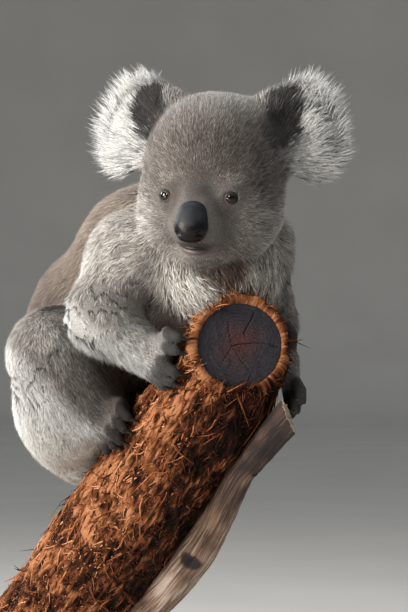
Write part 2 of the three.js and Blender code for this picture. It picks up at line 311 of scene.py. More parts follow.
def body_forms():
    """Every part of the animal that wears its coat."""
    forms = [
        Form("trunk", "perch", [
            ball([16, 22, 104], [66, 62, 66]),
            ball([0, 100, 159], [82, 94, 92]),
            ball([0, 205, 156], [92, 104, 102]),
        ], 36, 1, 7, hair_of_trunk),
        Form("neck", "perch", [cone([4, -38, 136, 50], [8, 20, 134, 66])], 1, 24, 7, hair_of_trunk),
        Form("rump", "perch", [
            cone([0, 262, 140, 86], [0, 288, 127, 82]),
            ball([0, 298, 98], [56, 52, 54]),
        ], 16, 24, 7, hair_of_trunk),
        Form("head", "head", [
            ball([0, 10, 18], [68, 70, 66]),
            ball([0, 8, 31], [60, 56, 50]),
            ball([-32, -16, -20], [38, 40, 43]),
            ball([34, -16, -20], [38, 40, 44]),
            ball([0, 2, -34], [52, 50, 42]),
        ], 24, 8, 4, hair_of_head),
        Form("muzzle", "head", [
            ball([0, -56, -34], [30, 29, 27]),
            ball([0, -52, -14], [19, 23, 19]),
        ], 14, 12, 2.2, hair_of_head),
        Form("chin", "head", [
            ball([0, -44, -58], [21, 23, 14]),
            ball([0, -30, -60], [30, 26, 18]),
        ], 8, 6, 3, hair_of_head),
    ]
    for name, side in (("right", -1), ("left", 1)):
        turn = turned(-12, side * -14, side * 20, "XYZ")
        forms.append(Form(
            "ear_" + name, "head", [
                ball([side * 73, 19, 50], [33, 10, 42], turn),
                ball([side * 46, 16, 61], [23, 10, 21]),
            ], 14, 10, 0, hair_of_ear(side),
            hollow=ball([side * 72, 4, 44], [24, 13, 30], turn),
        ))
        limb = LIMBS[name]
        forms += [
            Form("thigh_" + name, "perch", [
                cone(limb["hip"], limb["knee"]),
                ball([side * 72, 208, 72], [48, 54, 48]),
            ], 30, 26, 6, hair_of_haunch(side)),
            Form("upper_arm_" + name, "perch", [
                cone(limb["shoulder"], limb["elbow"]),
                cone([side * 40, 40, 128, 40], limb["shoulder"]),
            ], 20, 14, 6),
            Form("forearm_" + name, "perch", [cone(slimmer(limb["elbow"]), limb["wrist"])], 1, 16, 4),
            Form("shank_" + name, "perch", [cone(slimmer(limb["knee"]), limb["ankle"])], 1, 26, 4),
            Form("hand_" + name, "perch", paw_parts(HANDS[name], HAND_PAD), 1.5, 8, 1),
            Form("foot_" + name, "perch", paw_parts(FOOT, FOOT_PAD, mirror=side > 0), 1.5, 8, 1),
        ]
    return forms


FORMS = body_forms()
FORM = {form.name: form for form in FORMS}
EYES = {side: place([[at * EYE["half"], -EYE["forward"], EYE["up"]]], "head")[0]
        for side, at in (("right", -1), ("left", 1))}


# ------------------------------------------------------------------ meshes from distances
def shell_of(values, low, step):
    """The surface where a grid of distances passes zero, as corners and four-sided faces that
    point outwards."""
    inside = values < 0
    wide, deep, high = np.array(inside.shape) - 1
    count = sum(inside[i:i + wide, j:j + deep, k:k + high].astype(np.int8)
                for i in (0, 1) for j in (0, 1) for k in (0, 1))
    cells = np.argwhere((count > 0) & (count < 8))
    number = np.full(count.shape, -1, np.int32)
    number[tuple(cells.T)] = np.arange(len(cells))
    corner = {}
    for i in (0, 1):
        for j in (0, 1):
            for k in (0, 1):
                corner[i, j, k] = values[cells[:, 0] + i, cells[:, 1] + j, cells[:, 2] + k].astype(float)
    total, crossings = np.zeros((len(cells), 3)), np.zeros(len(cells))
    for start in corner:
        for axis in range(3):
            if start[axis]:
                continue
            end = tuple(1 if a == axis else start[a] for a in range(3))
            a, b = corner[start], corner[end]
            cut = (a < 0) != (b < 0)
            spot = np.tile(np.array(start, float), (len(cells), 1))
            spot[:, axis] = np.where(cut, a / np.where(cut, a - b, 1), 0)
            total += np.where(cut[:, None], spot, 0)
            crossings += cut
    points = (cells + total / crossings[:, None]) * step + low
    faces = []
    for axis in range(3):
        ahead = np.moveaxis(inside, axis, 0)
        change = np.argwhere(ahead[1:] != ahead[:-1])
        change = change[(change[:, 1] > 0) & (change[:, 2] > 0)]
        lower_inside = ahead[tuple(change.T)]
        grid = np.moveaxis(number, axis, 0)
        keep = (change[:, 1] < grid.shape[1]) & (change[:, 2] < grid.shape[2])
        change, lower_inside = change[keep], lower_inside[keep]
        quad = [grid[change[:, 0], change[:, 1] - b, change[:, 2] - c] for b,
                c in ((1, 1), (0, 1), (0, 0), (1, 0))]
        quad = np.stack(quad, axis=1)
        if axis == 1:
            lower_inside = ~lower_inside
        quad[~lower_inside] = quad[~lower_inside][:, ::-1]
        faces.append(quad)
    return points, np.concatenate(faces)


def smoothed(points, faces, rounds, strength=0.5):
    """The corners moved towards the middle of their neighbours."""
    ends = np.concatenate([faces, np.roll(faces, 1, axis=1)])
    others = np.concatenate([np.roll(faces, 1, axis=1), faces])
    near = np.bincount(ends.ravel(), minlength=len(points))[:, None]
    for _ in range(rounds):
        total = np.stack([np.bincount(ends.ravel(), points[others.ravel(), a], len(points))
                          for a in range(3)], axis=1)
        points = points + (total / near - points) * strength
    return points


def corner_normals(points, faces):
    """The outward direction at each corner, from the faces that meet there."""
    across = np.cross(points[faces[:, 2]] - points[faces[:, 0]], points[faces[:, 3]] - points[faces[:, 1]])
    total = np.stack([np.bincount(faces.ravel(), np.repeat(across[:, a], 4), len(points)) for a in range(3)],
                     axis=1)
    return unit(total)


def grid_of(low, high, step):
    """The corner counts of a grid over a box."""
    return np.ceil((high - low) / step).astype(int) + 1


def lattice(axes):
    """Every point of a grid, from its places along X, Y and Z."""
    return np.stack(np.meshgrid(*axes, indexing="ij"), axis=-1).reshape(-1, 3)


def body_grid(step):
    """Distances to the bare skin over the whole animal."""
    boxes = [form.box(8) for form in FORMS]
    low, high = np.min([b[0] for b in boxes], axis=0), np.max([b[1] for b in boxes], axis=0)
    size = grid_of(low, high, step)
    values = np.full(size, 60.0, np.float32)
    for form in FORMS:
        a, b = form.box(form.join + 2 * step)
        first = np.clip(((a - low) / step).astype(int), 0, size - 1)
        last = np.clip(np.ceil((b - low) / step).astype(int) + 1, 1, size)
        axes = [low[i] + step * np.arange(first[i], last[i]) for i in range(3)]
        points = lattice(axes)
        bare = form.distance(points) + form.depth
        window = tuple(slice(first[i], last[i]) for i in range(3))
        merged = joined(values[window].ravel().astype(float), bare, form.join)
        values[window] = merged.reshape(values[window].shape)
    return values, low


def eye_sockets(values, low, step):
    """Flesh raised to the lids round each eye, and drawn in behind the open part of the ball."""
    for name, centre in EYES.items():
        side = -1 if name == "right" else 1
        gaze = place(gaze_frame(side)[2], "head") - HOMES["head"][0]
        first = ((centre - 24 - low) / step).astype(int)
        axes = [low[i] + step * np.arange(first[i], first[i] + int(48 / step)) for i in range(3)]
        window = tuple(slice(first[i], first[i] + int(48 / step)) for i in range(3))
        points = lattice(axes)
        flesh = np.linalg.norm(points - centre + gaze * 1.6, axis=1) - (EYE["radius"] + 1.3)
        raised = joined(values[window].ravel().astype(float), flesh, 10)
        away = np.linalg.norm(points - centre - gaze * 4, axis=1) - (EYE["radius"] - 1.8)
        values[window] = -joined(-raised, away, 2).reshape(values[window].shape)


# ------------------------------------------------------------------ noise
def noise(points, size, seed):
    """Smooth noise from -1 to 1 whose lumps are about `size` across."""
    spot = points / size + seed * 17.31
    cell = np.floor(spot).astype(np.int64)
    share = spot - cell
    share = share * share * (3 - 2 * share)
    total = np.zeros(len(points))
    for i in (0, 1):
        for j in (0, 1):
            for k in (0, 1):
                mix = (cell[:, 0] + i) * 73856093 ^ (cell[:, 1] + j) * 19349663 ^ (cell[:, 2] + k) * 83492791
                mix = (mix ^ (mix >> 13)) * 1274126177 & 0x7FFFFFFF
                value = (mix % 65536) / 32767.5 - 1
                weight = (np.where(i, share[:, 0], 1 - share[:, 0])
                          * np.where(j, share[:, 1], 1 - share[:, 1])
                          * np.where(k, share[:, 2], 1 - share[:, 2]))
                total += value * weight
    return total


# ------------------------------------------------------------------ colours and materials
def linear(code):
    """An sRGB hex value as linear light."""
    parts = np.array([int(code[i:i + 2], 16) / 255 for i in (1, 3, 5)])
    return np.where(parts <= 0.04045, parts / 12.92, ((parts + 0.055) / 1.055) ** 2.4)


def rgba(code):
    """The same colour with its alpha, for a node's input."""
    return [*linear(code), 1.0]


def wire(tree, source, socket):
    """Links a socket, or a node's first output, into an input."""
    tree.links.new(getattr(source, "outputs", [source])[0], socket)


def add(tree, kind, settings=None, links=None, **attributes):
    """Adds one node: its attributes, the values of its inputs, and what is wired into them."""
    node = tree.nodes.new(kind)
    for name, value in attributes.items():
        setattr(node, name, value)
    for name, value in (settings or {}).items():
        node.inputs[name].default_value = value
    for name, source in (links or {}).items():
        wire(tree, source, node.inputs[name])
    return node


def dress(tree, shader, colour, roughness, specular=0.5, bump=None):
    """A surface shader's colour and gloss, and its bump as a height, a strength and a depth in metres."""
    wire(tree, colour, shader.inputs["Base Color"])
    if isinstance(roughness, float):
        shader.inputs["Roughness"].default_value = roughness
    else:
        wire(tree, roughness, shader.inputs["Roughness"])
    shader.inputs["Specular IOR Level"].default_value = specular
    if bump:
        height, strength, depth = bump
        lumps = add(tree, "ShaderNodeBump", {"Strength": strength, "Distance": depth}, {"Height": height})
        wire(tree, lumps, shader.inputs["Normal"])


def material(name):
    """An empty material with its surface shader: the material, its tree and the shader."""
    made = bpy.data.materials.new(name)
    made.use_nodes = True
    tree = made.node_tree
    tree.nodes.clear()
    shader = add(tree, "ShaderNodeBsdfPrincipled")
    add(tree, "ShaderNodeOutputMaterial", links={"Surface": shader.outputs["BSDF"]})
    return made, tree, shader


def ramp(tree, factor, stops):
    """A colour ramp over the given (place, hex colour) stops."""
    node = add(tree, "ShaderNodeValToRGB", links={"Fac": factor})
    while len(node.color_ramp.elements) < len(stops):
        node.color_ramp.elements.new(0.5)
    for element, (spot, code) in zip(node.color_ramp.elements, stops):
        element.position, element.color = spot, rgba(code)
    return node.outputs["Color"]


def shaded_coat(tree, scale, detail, roughness, least, most):
    """The colours of the coat made darker and lighter by fine noise, and the noise itself."""
    colour = add(tree, "ShaderNodeAttribute", attribute_name="coat_colour").outputs["Color"]
    where = add(tree, "ShaderNodeTexCoord").outputs["Object"]
    nap = add(tree, "ShaderNodeTexNoise", {"Scale": scale, "Detail": detail, "Roughness": roughness},
              {"Vector": where})
    shade = add(tree, "ShaderNodeMapRange",
                {"From Min": 0.3, "From Max": 0.7, "To Min": least, "To Max": most},
                {"Value": nap})
    return add(tree, "ShaderNodeVectorMath", links={0: colour, 1: shade}, operation="MULTIPLY"), nap


def coat_wool(name="short_wool", through=0.0):
    """Woolly marsupial hair: matt, soft at grazing light, each lock a little lighter or darker
    than the next.
    `through` is the share of light that passes through it."""
    made, tree, shader = material(name)
    colour, _ = shaded_coat(tree, 420.0, 2.0, 0.5, 0.82, 1.15)
    dress(tree, shader, colour, 0.78, 0.25)
    shader.inputs["Sheen Weight"].default_value = 0.12
    shader.inputs["Sheen Roughness"].default_value = 0.5
    if through:
        lit = add(tree, "ShaderNodeBsdfTranslucent", links={"Color": colour})
        both = add(tree, "ShaderNodeMixShader", {"Fac": through}, {1: shader, 2: lit})
        out = next(node for node in tree.nodes if node.type == "OUTPUT_MATERIAL")
        wire(tree, both, out.inputs["Surface"])
    return made


def skin_under_wool():
    """Skin under close wool: the coat's own colours, darker, with the nap of the underfur about
    1.5 mm apart."""
    made, tree, shader = material("skin_with_underfur")
    colour, nap = shaded_coat(tree, 650.0, 3.0, 0.6, 0.6, 1.2)
    dress(tree, shader, colour, 0.9, 0.2, (nap, 0.8, 0.0012))
    return made


# ------------------------------------------------------------------ pieces
def mesh_piece(name, points, faces, finish, replaces=(), normals=None, smooth=True):
    """A piece from corners in millimetres in the stand's frame; `faces` holds arrays of 3- and
    4-sided faces."""
    mesh = bpy.data.meshes.new(name)
    faces = [f for f in (faces if isinstance(faces, list) else [faces]) if len(f)]
    mesh.vertices.add(len(points))
    mesh.vertices.foreach_set("co", (np.asarray(points) * MM).astype(np.float32).ravel())
    loops = np.concatenate([f.ravel() for f in faces])
    totals = np.concatenate([np.full(len(f), f.shape[1]) for f in faces])
    mesh.loops.add(len(loops))
    mesh.loops.foreach_set("vertex_index", loops.astype(np.int32))
    mesh.polygons.add(len(totals))
    mesh.polygons.foreach_set("loop_start", np.concatenate([[0], np.cumsum(totals)[:-1]]).astype(np.int32))
    mesh.update(calc_edges=True)
    mesh.validate()
    mesh.polygons.foreach_set("use_smooth", np.full(len(totals), smooth))
    if normals is not None:
        mesh.normals_split_custom_set_from_vertices(normals.astype(np.float32))
    mesh.materials.append(finish)
    piece = bpy.data.objects.new(name, mesh)
    bpy.context.scene.collection.objects.link(piece)
    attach(piece, "root")
    if replaces:
        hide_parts(*replaces)
    return piece


def paint(piece, colours, name="coat_colour"):
    """Stores a colour at each corner of a piece."""
    layer = piece.data.color_attributes.new(name, "FLOAT_COLOR", "POINT")
    layer.data.foreach_set("color", np.concatenate([colours, np.ones((len(colours), 1))], axis=1).ravel())


def store_map(piece, name, uv):
    """A UV map from one place for each corner point."""
    layer = piece.data.uv_layers.new(name=name)
    corners = np.empty(len(piece.data.loops), np.int32)
    piece.data.loops.foreach_get("vertex_index", corners)
    layer.data.foreach_set("uv", uv[corners].astype(np.float32).ravel())


def store_values(mesh, name, values):
    """Stores a number at each corner point of a mesh."""
    mesh.attributes.new(name, "FLOAT", "POINT").data.foreach_set("value", values.astype(np.float32))


def bands(rings, sides, first=0, other_way=False):
    """Four-sided faces between rings of corners that follow one another."""
    i = np.arange(sides)
    j = (i + 1) % sides
    faces = np.concatenate([np.stack([a + i, a + j, a + sides + j, a + sides + i], 1)
                            for a in first + sides * np.arange(rings - 1)])
    return faces[:, [0, 3, 2, 1]] if other_way else faces


def closed_bands(rings, sides):
    """Bands whose two ends are closed by the two corners that follow the rings."""
    i = np.arange(sides)
    j = (i + 1) % sides
    last, middle = (rings - 1) * sides, np.full(sides, rings * sides)
    ends = np.concatenate([np.stack([j, i, middle], 1), np.stack([last + i, last + j, middle + 1], 1)])
    return [bands(rings, sides), ends]


def tube(path, radii, sides):
    """A round-sectioned piece along a path: corners and faces, its two ends closed by a point."""
    path, radii = np.asarray(path, float), np.asarray(radii, float)
    ways = unit(np.gradient(path, axis=0))
    side = unit(np.cross(ways[0], [0.31, 0.17, 0.94]))
    rings = []
    for centre, way, radius in zip(path, ways, radii):
        side = unit(side - way * (side @ way))
        up = np.cross(way, side)
        angles = np.linspace(0, 2 * math.pi, sides, endpoint=False)[:, None]
        rings.append(centre + radius * (np.cos(angles) * side + np.sin(angles) * up))
    return np.concatenate([*rings, path[:1], path[-1:]]), closed_bands(len(path), sides)


# ------------------------------------------------------------------ markings
def kind_of(form):
    """A form's name without its side, as the tables of colours and locks have it."""
    return form.name.replace("_right", "").replace("_left", "")


BASE_COLOURS = {
    "trunk": "#84766a", "neck": "#958b82", "rump": "#c8beb1", "head": "#7f7771", "muzzle": "#98918c",
    "chin": "#a8a098", "ear": "#e2e2df", "thigh": "#a09b96", "upper_arm": "#b5afa9", "forearm": "#bab6b2",
    "shank": "#6f6a66", "hand": "#aaa6a2", "foot": "#635a54",
}


def shares(points, reach=5.0):
    """How much of each form a point belongs to."""
    found = np.stack([form.distance(points) + form.depth for form in FORMS], axis=1)
    found = np.exp(-np.clip(found - found.min(axis=1, keepdims=True), 0, 60) / reach)
    return found / found.sum(axis=1, keepdims=True)


def spread(points, home, centre, radii):
    """1 at a spot of a home's frame, fading to 0 at the edge of an ellipsoid round it."""
    away = np.linalg.norm((within(points, home) - centre) / radii, axis=1)
    return 1 - ease(away, 0.45, 1.0)


def tint(colours, code, share):
    """The colours mixed with one more by a share for each point."""
    share = np.clip(share, 0, 1)[:, None]
    return colours * (1 - share) + linear(code) * share


def markings(points, normals, share):
    """The coat's colour at each point of the body."""
    plain = np.array([linear(BASE_COLOURS[kind_of(form)]) for form in FORMS])
    colours = share @ plain
    part = {form.name: share[:, i] for i, form in enumerate(FORMS)}
    perch = within(points, "perch")
    head = within(points, "head")
    body = part["trunk"] + part["neck"] + part["rump"]
    mottle = noise(points, 26, 3) * 0.5 + noise(points, 11, 4) * 0.5

    # Brown over the back, darker towards the loins, then a cream patch on the rump.
    loin = ease(perch[:, 1], 70, 190) * (1 - ease(perch[:, 1], 285, 310)) * body
    colours = tint(colours, "#6a5d54", 0.85 * loin + 0.1 * mottle * body)
    # Painted shade: the belly between the limbs darker, as though shadowed.
    belly_shade = ease(-perch[:, 2], -118, -70) * body * ease(perch[:, 1], 70,
                                                        110) * (1 - ease(perch[:, 1], 235, 290))
    colours = tint(colours, "#5d534b", 0.85 * belly_shade)
    seat = ease(perch[:, 1], 292, 330) * part["rump"]
    colours = tint(colours, "#e6dfd3", 0.9 * seat)

    # White and cream bib under the chin, stained brown in its middle.
    front = (part["trunk"] + part["neck"] + part["upper_arm_left"] * 0.6 + part["upper_arm_right"] * 0.35)
    bib = ease(-normals[:, 1], -0.1, 0.5) * (1
        - ease(perch[:, 1], 10, 70)) * front * (0.2 + 0.8 * ease(points[:, 0], 8, 42))
    colours = tint(colours, "#ebe6dc", 0.95 * bib)
    below = np.maximum(1 - part["head"] - part["muzzle"] - part["chin"], ease(-head[:, 2], 62, 70))
    colours = tint(colours, "#47270c", 0.97 * spread(points, "stand", [94, -178, 531], [36, 90, 34]) * below)
    colours = tint(colours, "#a59b90", 0.3 * spread(points, "stand", [140, -170, 515], [34, 70, 44]) * bib)

    # Face: pale cheeks and jaw edge, darker bridge and brow, and a brown-grey crown painted paler on top, a
    # painted light from above.
    face = part["head"] + part["muzzle"] + part["chin"]
    cheek = ease(np.abs(head[:, 0]), 26, 56) * ease(-head[:, 2], -8, 34) * face
    colours = tint(colours, "#c6c2bd", 0.7 * cheek)
    bridge = spread(points, "head", [0, -62, 2], [15, 26, 24]) * face
    colours = tint(colours, "#5c5651", 0.55 * bridge)
    # Painted light: the top of the head paler, as lit from above.
    colours = tint(colours, "#aaa49d", 0.7 * ease(head[:, 2], 54, 82) * face)
    colours = tint(colours, "#5b5450", 0.3 * spread(points, "head", [0, -50, 38], [46, 40, 26]) * face)
    for side in (-1, 1):
        colours = tint(colours, "#b3aca6", 0.4 * spread(points, "head", [side * 32, -56, 7.5], [13, 20, 6])
                       * face)
        colours = tint(colours, "#6f6762", 0.5 * spread(points, "head", [side * 25, -60, -16], [12, 20, 16])
                       * face)
    # Darker round the mouth: the lips' own dusky skin, and painted shade under the nose.
    lips_and_nose_shade = spread(points, "head", [0, -70, -55], [24, 26, 9]) * face
    colours = tint(colours, "#4a3f3c", 0.8 * lips_and_nose_shade)
    colours = tint(colours, "#c9c5bf", 0.6 * ease(-head[:, 2], 50, 66) * part["chin"])

    # Ears: white all round the rim, charcoal in the hollow and on the side of the crown by the root.
    for name, side in (("right", -1), ("left", 1)):
        ear = part["ear_" + name]
        beside = np.clip(ear + 0.85 * part["head"] * ease(np.abs(head[:, 0]), 40, 52), 0, 1)
        turned_out = 6 if side < 0 else 0
        hollow = 1 - ease(np.linalg.norm((head - [side * (60 + turned_out), 4, 62]) / [18, 40, 32], axis=1),
                          0.65, 1.2)
        aside = np.abs(head[:, 0]) - turned_out
        root = (1 - ease(aside, 52, 64)) * ease(aside, 42, 50) * ease(head[:, 2], 20, 40)
        facing = ease(-normals[:, 1], -0.45, 0.1)
        away = np.hypot(head[:, 0] - side * 62, head[:, 2] - 50)
        colours = tint(colours, "#8f8b86", 0.75 * ease(normals[:, 1], 0.2, 0.7) * (1 - ease(away, 20, 34))
                       * ear)
        edge = 0.4 * noise(points, 7, 5) + 0.5 * noise(points, 1.5, 6)
        colours = tint(colours, "#302d2b", 0.97
                       * ease(np.maximum(hollow, 0.8 * root * ear) + edge, 0.2, 0.7) * facing * beside)
        web = (1 - ease(aside, 40, 50)) * ear
        colours = tint(colours, "#8a827b", 0.9 * web)

    # Limbs: pale outer and lower edges, and painted shade on the inner sides that face the body.
    for name, side in (("right", -1), ("left", 1)):
        arm = part["upper_arm_" + name] + part["forearm_" + name]
        leg = part["thigh_" + name] + part["shank_" + name]
        outward = within_turn(normals, "perch") @ np.array([side * 0.70, 0.61, -0.37])
        colours = tint(colours, "#f4f3f1", 0.95 * ease(outward, 0.3, 0.85) * leg)
        colours = tint(colours, "#f4f3f1", 0.85 * ease(outward, 0.2, 0.7) * arm)
        colours = tint(colours, "#f8f7f5", 0.9 * ease(-normals[:, 2], 0.2, 0.75) * part["forearm_" + name])
        # Painted shade: the inner sides of arms and legs darker.
        colours = tint(colours, "#57504a", 0.7 * ease(-outward, 0.15, 0.75) * (arm * 0.5 + leg))
    # Painted shade: the animal's left arm darker all over, as though in shadow.
    shaded = part["upper_arm_left"] + part["forearm_left"]
    colours = colours * (1 - 0.4 * shaded)[:, None]
    # Painted highlight: the top of the right knee paler, where the light falls on it.
    knee = spread(points, "stand", [-60, -60, 465], [50, 150, 26])
    colours = tint(colours, "#cfcbc6", 0.6 * knee * part["thigh_right"])
    seat = body + part["thigh_right"] + part["thigh_left"]
    hem = (1 - ease(points[:, 2], 335, 395)) * seat * (1 - belly_shade)
    colours = tint(colours, "#fbf4e6", 0.97 * hem)
    for name in ("hand_right", "hand_left", "foot_right", "foot_left"):
        paw = FORM[name]
        digits = np.min([digit(perch) for digit in paw.parts[1:]], axis=0)
        bare = ease(paw.parts[0](perch) - digits, 2.5, 7.5) * part[name]
        colours = tint(colours, "#363536" if name.startswith("hand") else "#2e2726", 0.85 * bare)
    return colours * (1 + 0.1 * mottle)[:, None]


# ------------------------------------------------------------------ coat
# For each form: square millimetres for each lock, its length and width in millimetres, its lift at the root
# in degrees and how far it bends back down.
LOCKS = {
    "trunk": (1.5, 13, 1.0, 36, 0.55),
    "neck": (1.6, 15, 1.05, 38, 0.55),
    "rump": (1.5, 13, 1.0, 36, 0.55),
    "head": (0.7, 7.2, 0.68, 40, 0.5),
    "muzzle": (0.5, 4.2, 0.5, 34, 0.45),
    "chin": (0.7, 6, 0.6, 38, 0.5),
    "ear": (1.05, 15, 0.72, 30, 0.3),
    "thigh": (1.15, 11.5, 0.92, 36, 0.55),
    "upper_arm": (1.1, 11.5, 0.92, 36, 0.55),
    "forearm": (0.95, 9, 0.85, 36, 0.5),
    "shank": (0.95, 9, 0.85, 36, 0.5),
    "hand": (0.8, 3.6, 0.55, 26, 0.5),
    "foot": (0.8, 3.6, 0.55, 26, 0.5),
}


def lock_table(column):
    """One column of the table above, in the order of the forms."""
    return np.array([LOCKS[kind_of(form)][column] for form in FORMS], float)


def scatter(points, faces, normals, room, rng):
    """Spots spread evenly over four-sided faces, one for each `room` square millimetres, with
    their normals."""
    a, b, c, d = [points[faces[:, i]] for i in range(4)]
    area = 0.5 * np.linalg.norm(np.cross(c - a, d - b), axis=1)
    count = np.floor(area / room + rng.random(len(faces))).astype(int)
    owner = np.repeat(np.arange(len(faces)), count)
    order = np.arange(len(owner)) - np.repeat(np.cumsum(count) - count, count)
    u = (order + rng.random(len(owner))) / count[owner]
    v = (order * 0.618 + rng.random(len(owner)) * 0.7) % 1.0
    weights = np.stack([(1 - u) * (1 - v), u * (1 - v), u * v, (1 - u) * v], axis=1)
    spots = sum(weights[:, i:i + 1] * points[faces[owner, i]] for i in range(4))
    facing = unit(sum(weights[:, i:i + 1] * normals[faces[owner, i]] for i in range(4)))
    return spots, facing


def locks_mesh(root, normal, way, length, width, lift, bend, sway, dark, colours, patch, rings, soft):
    """Curved tapering locks as closed three-sided blades, with their normals, colours and UV patches."""
    count = len(root)
    across = np.cross(normal, way)
    stations = np.linspace(0, 1, rings + 1)
    girths = {1: (1.0,), 2: (0.75, 1.0)}[rings]
    points, looks, shades, spots = [], [], [], []
    rise = np.sin(np.radians(lift))[:, None]
    run = np.cos(np.radians(lift))[:, None]
    length, width, bend, sway = length[:, None], width[:, None], bend[:, None], sway[:, None]

    def centre(share):
        return (root - normal * 0.8 + length * (way * run * share * (1 + 0.1 * share)
                + normal * (rise * share - 0.5 * bend * share ** 2) + across * sway * share ** 2))

    for share, girth in zip(stations[:-1], girths):
        middle, half = centre(share), width * 0.5 * girth
        points += [middle - across * half, middle + across * half, middle + normal * half * 0.9]
        looks += [unit(soft * 0.75 - across * 0.6), unit(soft * 0.75 + across * 0.6),
                  unit(soft + way * 0.15)]
        # Painted shade: each lock darker towards its root, partly the wool's darker base and partly shade
        # deep in the coat; the tip is lighter, partly its paler tip and partly painted light.
        shades += [colours * (1 - dark * (1 - share * 1.1))[:, None]] * 3
        spots += [[-1, share * 2 - 1], [1, share * 2 - 1], [0, share * 2 - 1]]
    points.append(centre(1.0))
    looks.append(unit(soft + way * 0.3))
    shades.append(colours * 1.12)
    spots.append([0, 1])
    each = len(points)
    faces = [[0, 2, 1]]
    for ring in range(rings - 1):
        for a, b in ((0, 1), (1, 2), (2, 0)):
            p, q = ring * 3 + a, ring * 3 + b
            faces += [[p, q, q + 3], [p, q + 3, p + 3]]
    tip, last = each - 1, (rings - 1) * 3
    faces += [[last + a, last + b, tip] for a, b in ((0, 1), (1, 2), (2, 0))]
    points = np.stack(points, axis=1).reshape(-1, 3)
    looks = np.stack(looks, axis=1).reshape(-1, 3)
    shades = np.stack(shades, axis=1).reshape(-1, 3)
    uv = (patch[:, None, :] + 0.0015 * np.array(spots)[None]).reshape(-1, 2)
    faces = (np.array(faces)[None] + (np.arange(count) * each)[:, None, None]).reshape(-1, 3)
    return points, faces, looks, shades, uv


def unwrap(points, form):
    """Where a spot lies on the skin opened out round the form's own length: round it, and along it."""
    own = within(points, form.home)
    long_parts = form.parts[:2] if form.name.startswith(("hand", "foot")) else form.parts
    balls = [held for part in long_parts for held in part.bounds]
    start, end = balls[0][0], balls[-1][0]
    if np.linalg.norm(end - start) < 12:
        start, end = balls[0][0] - [0, 0, 30], balls[0][0] + [0, 0, 30]
    along = unit(end - start)
    side = unit(np.cross(along, [0.3, 0.2, 0.93]))
    away = own - start
    length = np.linalg.norm(end - start)
    reach = max(radius for _, radius in balls) + 14
    share = (away @ along + reach) / (length + 2 * reach)
    turn = np.arctan2(away @ side, away @ np.cross(along, side)) / (2 * math.pi) + 0.5
    return np.stack([turn, np.clip(share, 0, 1)], axis=1)


def crack_distance(points):
    """Millimetres, roughly, to the nearest of the wandering lines where the wool opens across its lie."""
    warped = points + 3.2 * np.stack([noise(points, 8, seed) for seed in (47, 48, 49)], axis=1)

    def lines(spots):
        """Noise drawn out round the middle of the haunch, or along the arm."""
        x, z = spots[:, 0] + 25, spots[:, 2] - 385
        haunch = noise(np.stack([np.hypot(x, z), np.arctan2(x, z) * 34, spots[:, 1] * 0.5], 1), 14, 50)
        slanted = np.stack([spots[:, 0] * 0.5 + spots[:, 2] * 0.1, spots[:, 1] * 0.5, spots[:, 2]], 1)
        arm = noise(slanted, 14, 58)
        return np.where(points[:, 2] + 0.55 * points[:, 0] > 438, arm, haunch)

    here = lines(warped)
    slope = np.stack([lines(warped + 0.7 * step) - here for step in np.eye(3)], axis=1) / 0.7
    level = np.abs((here / 0.44 + 0.5) % 1 - 0.5) * 0.44
    return level / np.maximum(np.linalg.norm(slope, axis=1), 0.04)


# Each group of the coat's pieces: its slot, and the forms whose locks it holds.
COAT_GROUPS = {
    "coat_back": ("back_coat", ["trunk", "neck"]),
    "coat_chest": ("pale_coat", ["trunk", "neck"]),
    "coat_rump": ("pale_coat", ["rump"]),
    "coat_head": ("grey_coat", ["head"]),
    "coat_muzzle": ("grey_coat", ["muzzle", "chin"]),
    "coat_ear_right": ("ear_coat", ["ear_right"]),
    "coat_ear_left": ("ear_coat", ["ear_left"]),
    "coat_arm_right": ("grey_coat", ["upper_arm_right", "forearm_right"]),
    "coat_arm_left": ("grey_coat", ["upper_arm_left", "forearm_left"]),
    "coat_leg_right": ("grey_coat", ["thigh_right", "shank_right"]),
    "coat_leg_left": ("grey_coat", ["thigh_left", "shank_left"]),
    "coat_paws": ("paw_coat", ["hand_right", "hand_left", "foot_right", "foot_left"]),
}
PIECE_TRIANGLES = 190000
CHEST_SHARE = 0.55  # the share of the chest's locks that is kept, because they are long and wide


def grows(root, head, perch):
    """Where locks grow: nothing grows inside the eyes, the nose, the mouth or the log."""
    keep = np.ones(len(root), bool)
    for name, centre in EYES.items():
        side = -1 if name == "right" else 1
        away = np.linalg.norm(root - centre, axis=1)
        facing = (root - centre) @ (HOMES["head"][1] @ gaze_frame(side)[2]) / away
        keep &= (away > EYE["radius"] + 0.2) & ((facing < math.cos(math.radians(47))) | (away > 14))
    keep &= nose_distance(head) > 0.6
    keep &= mouth_distance(head) > 2.2
    bow_x, bow_z = bow_at(perch[:, 1])
    radius = np.hypot(perch[:, 0] - bow_x, perch[:, 2] - bow_z)
    return keep & ~((radius < log_radius(perch[:, 1]) + 0.5) & (perch[:, 1] > -8))


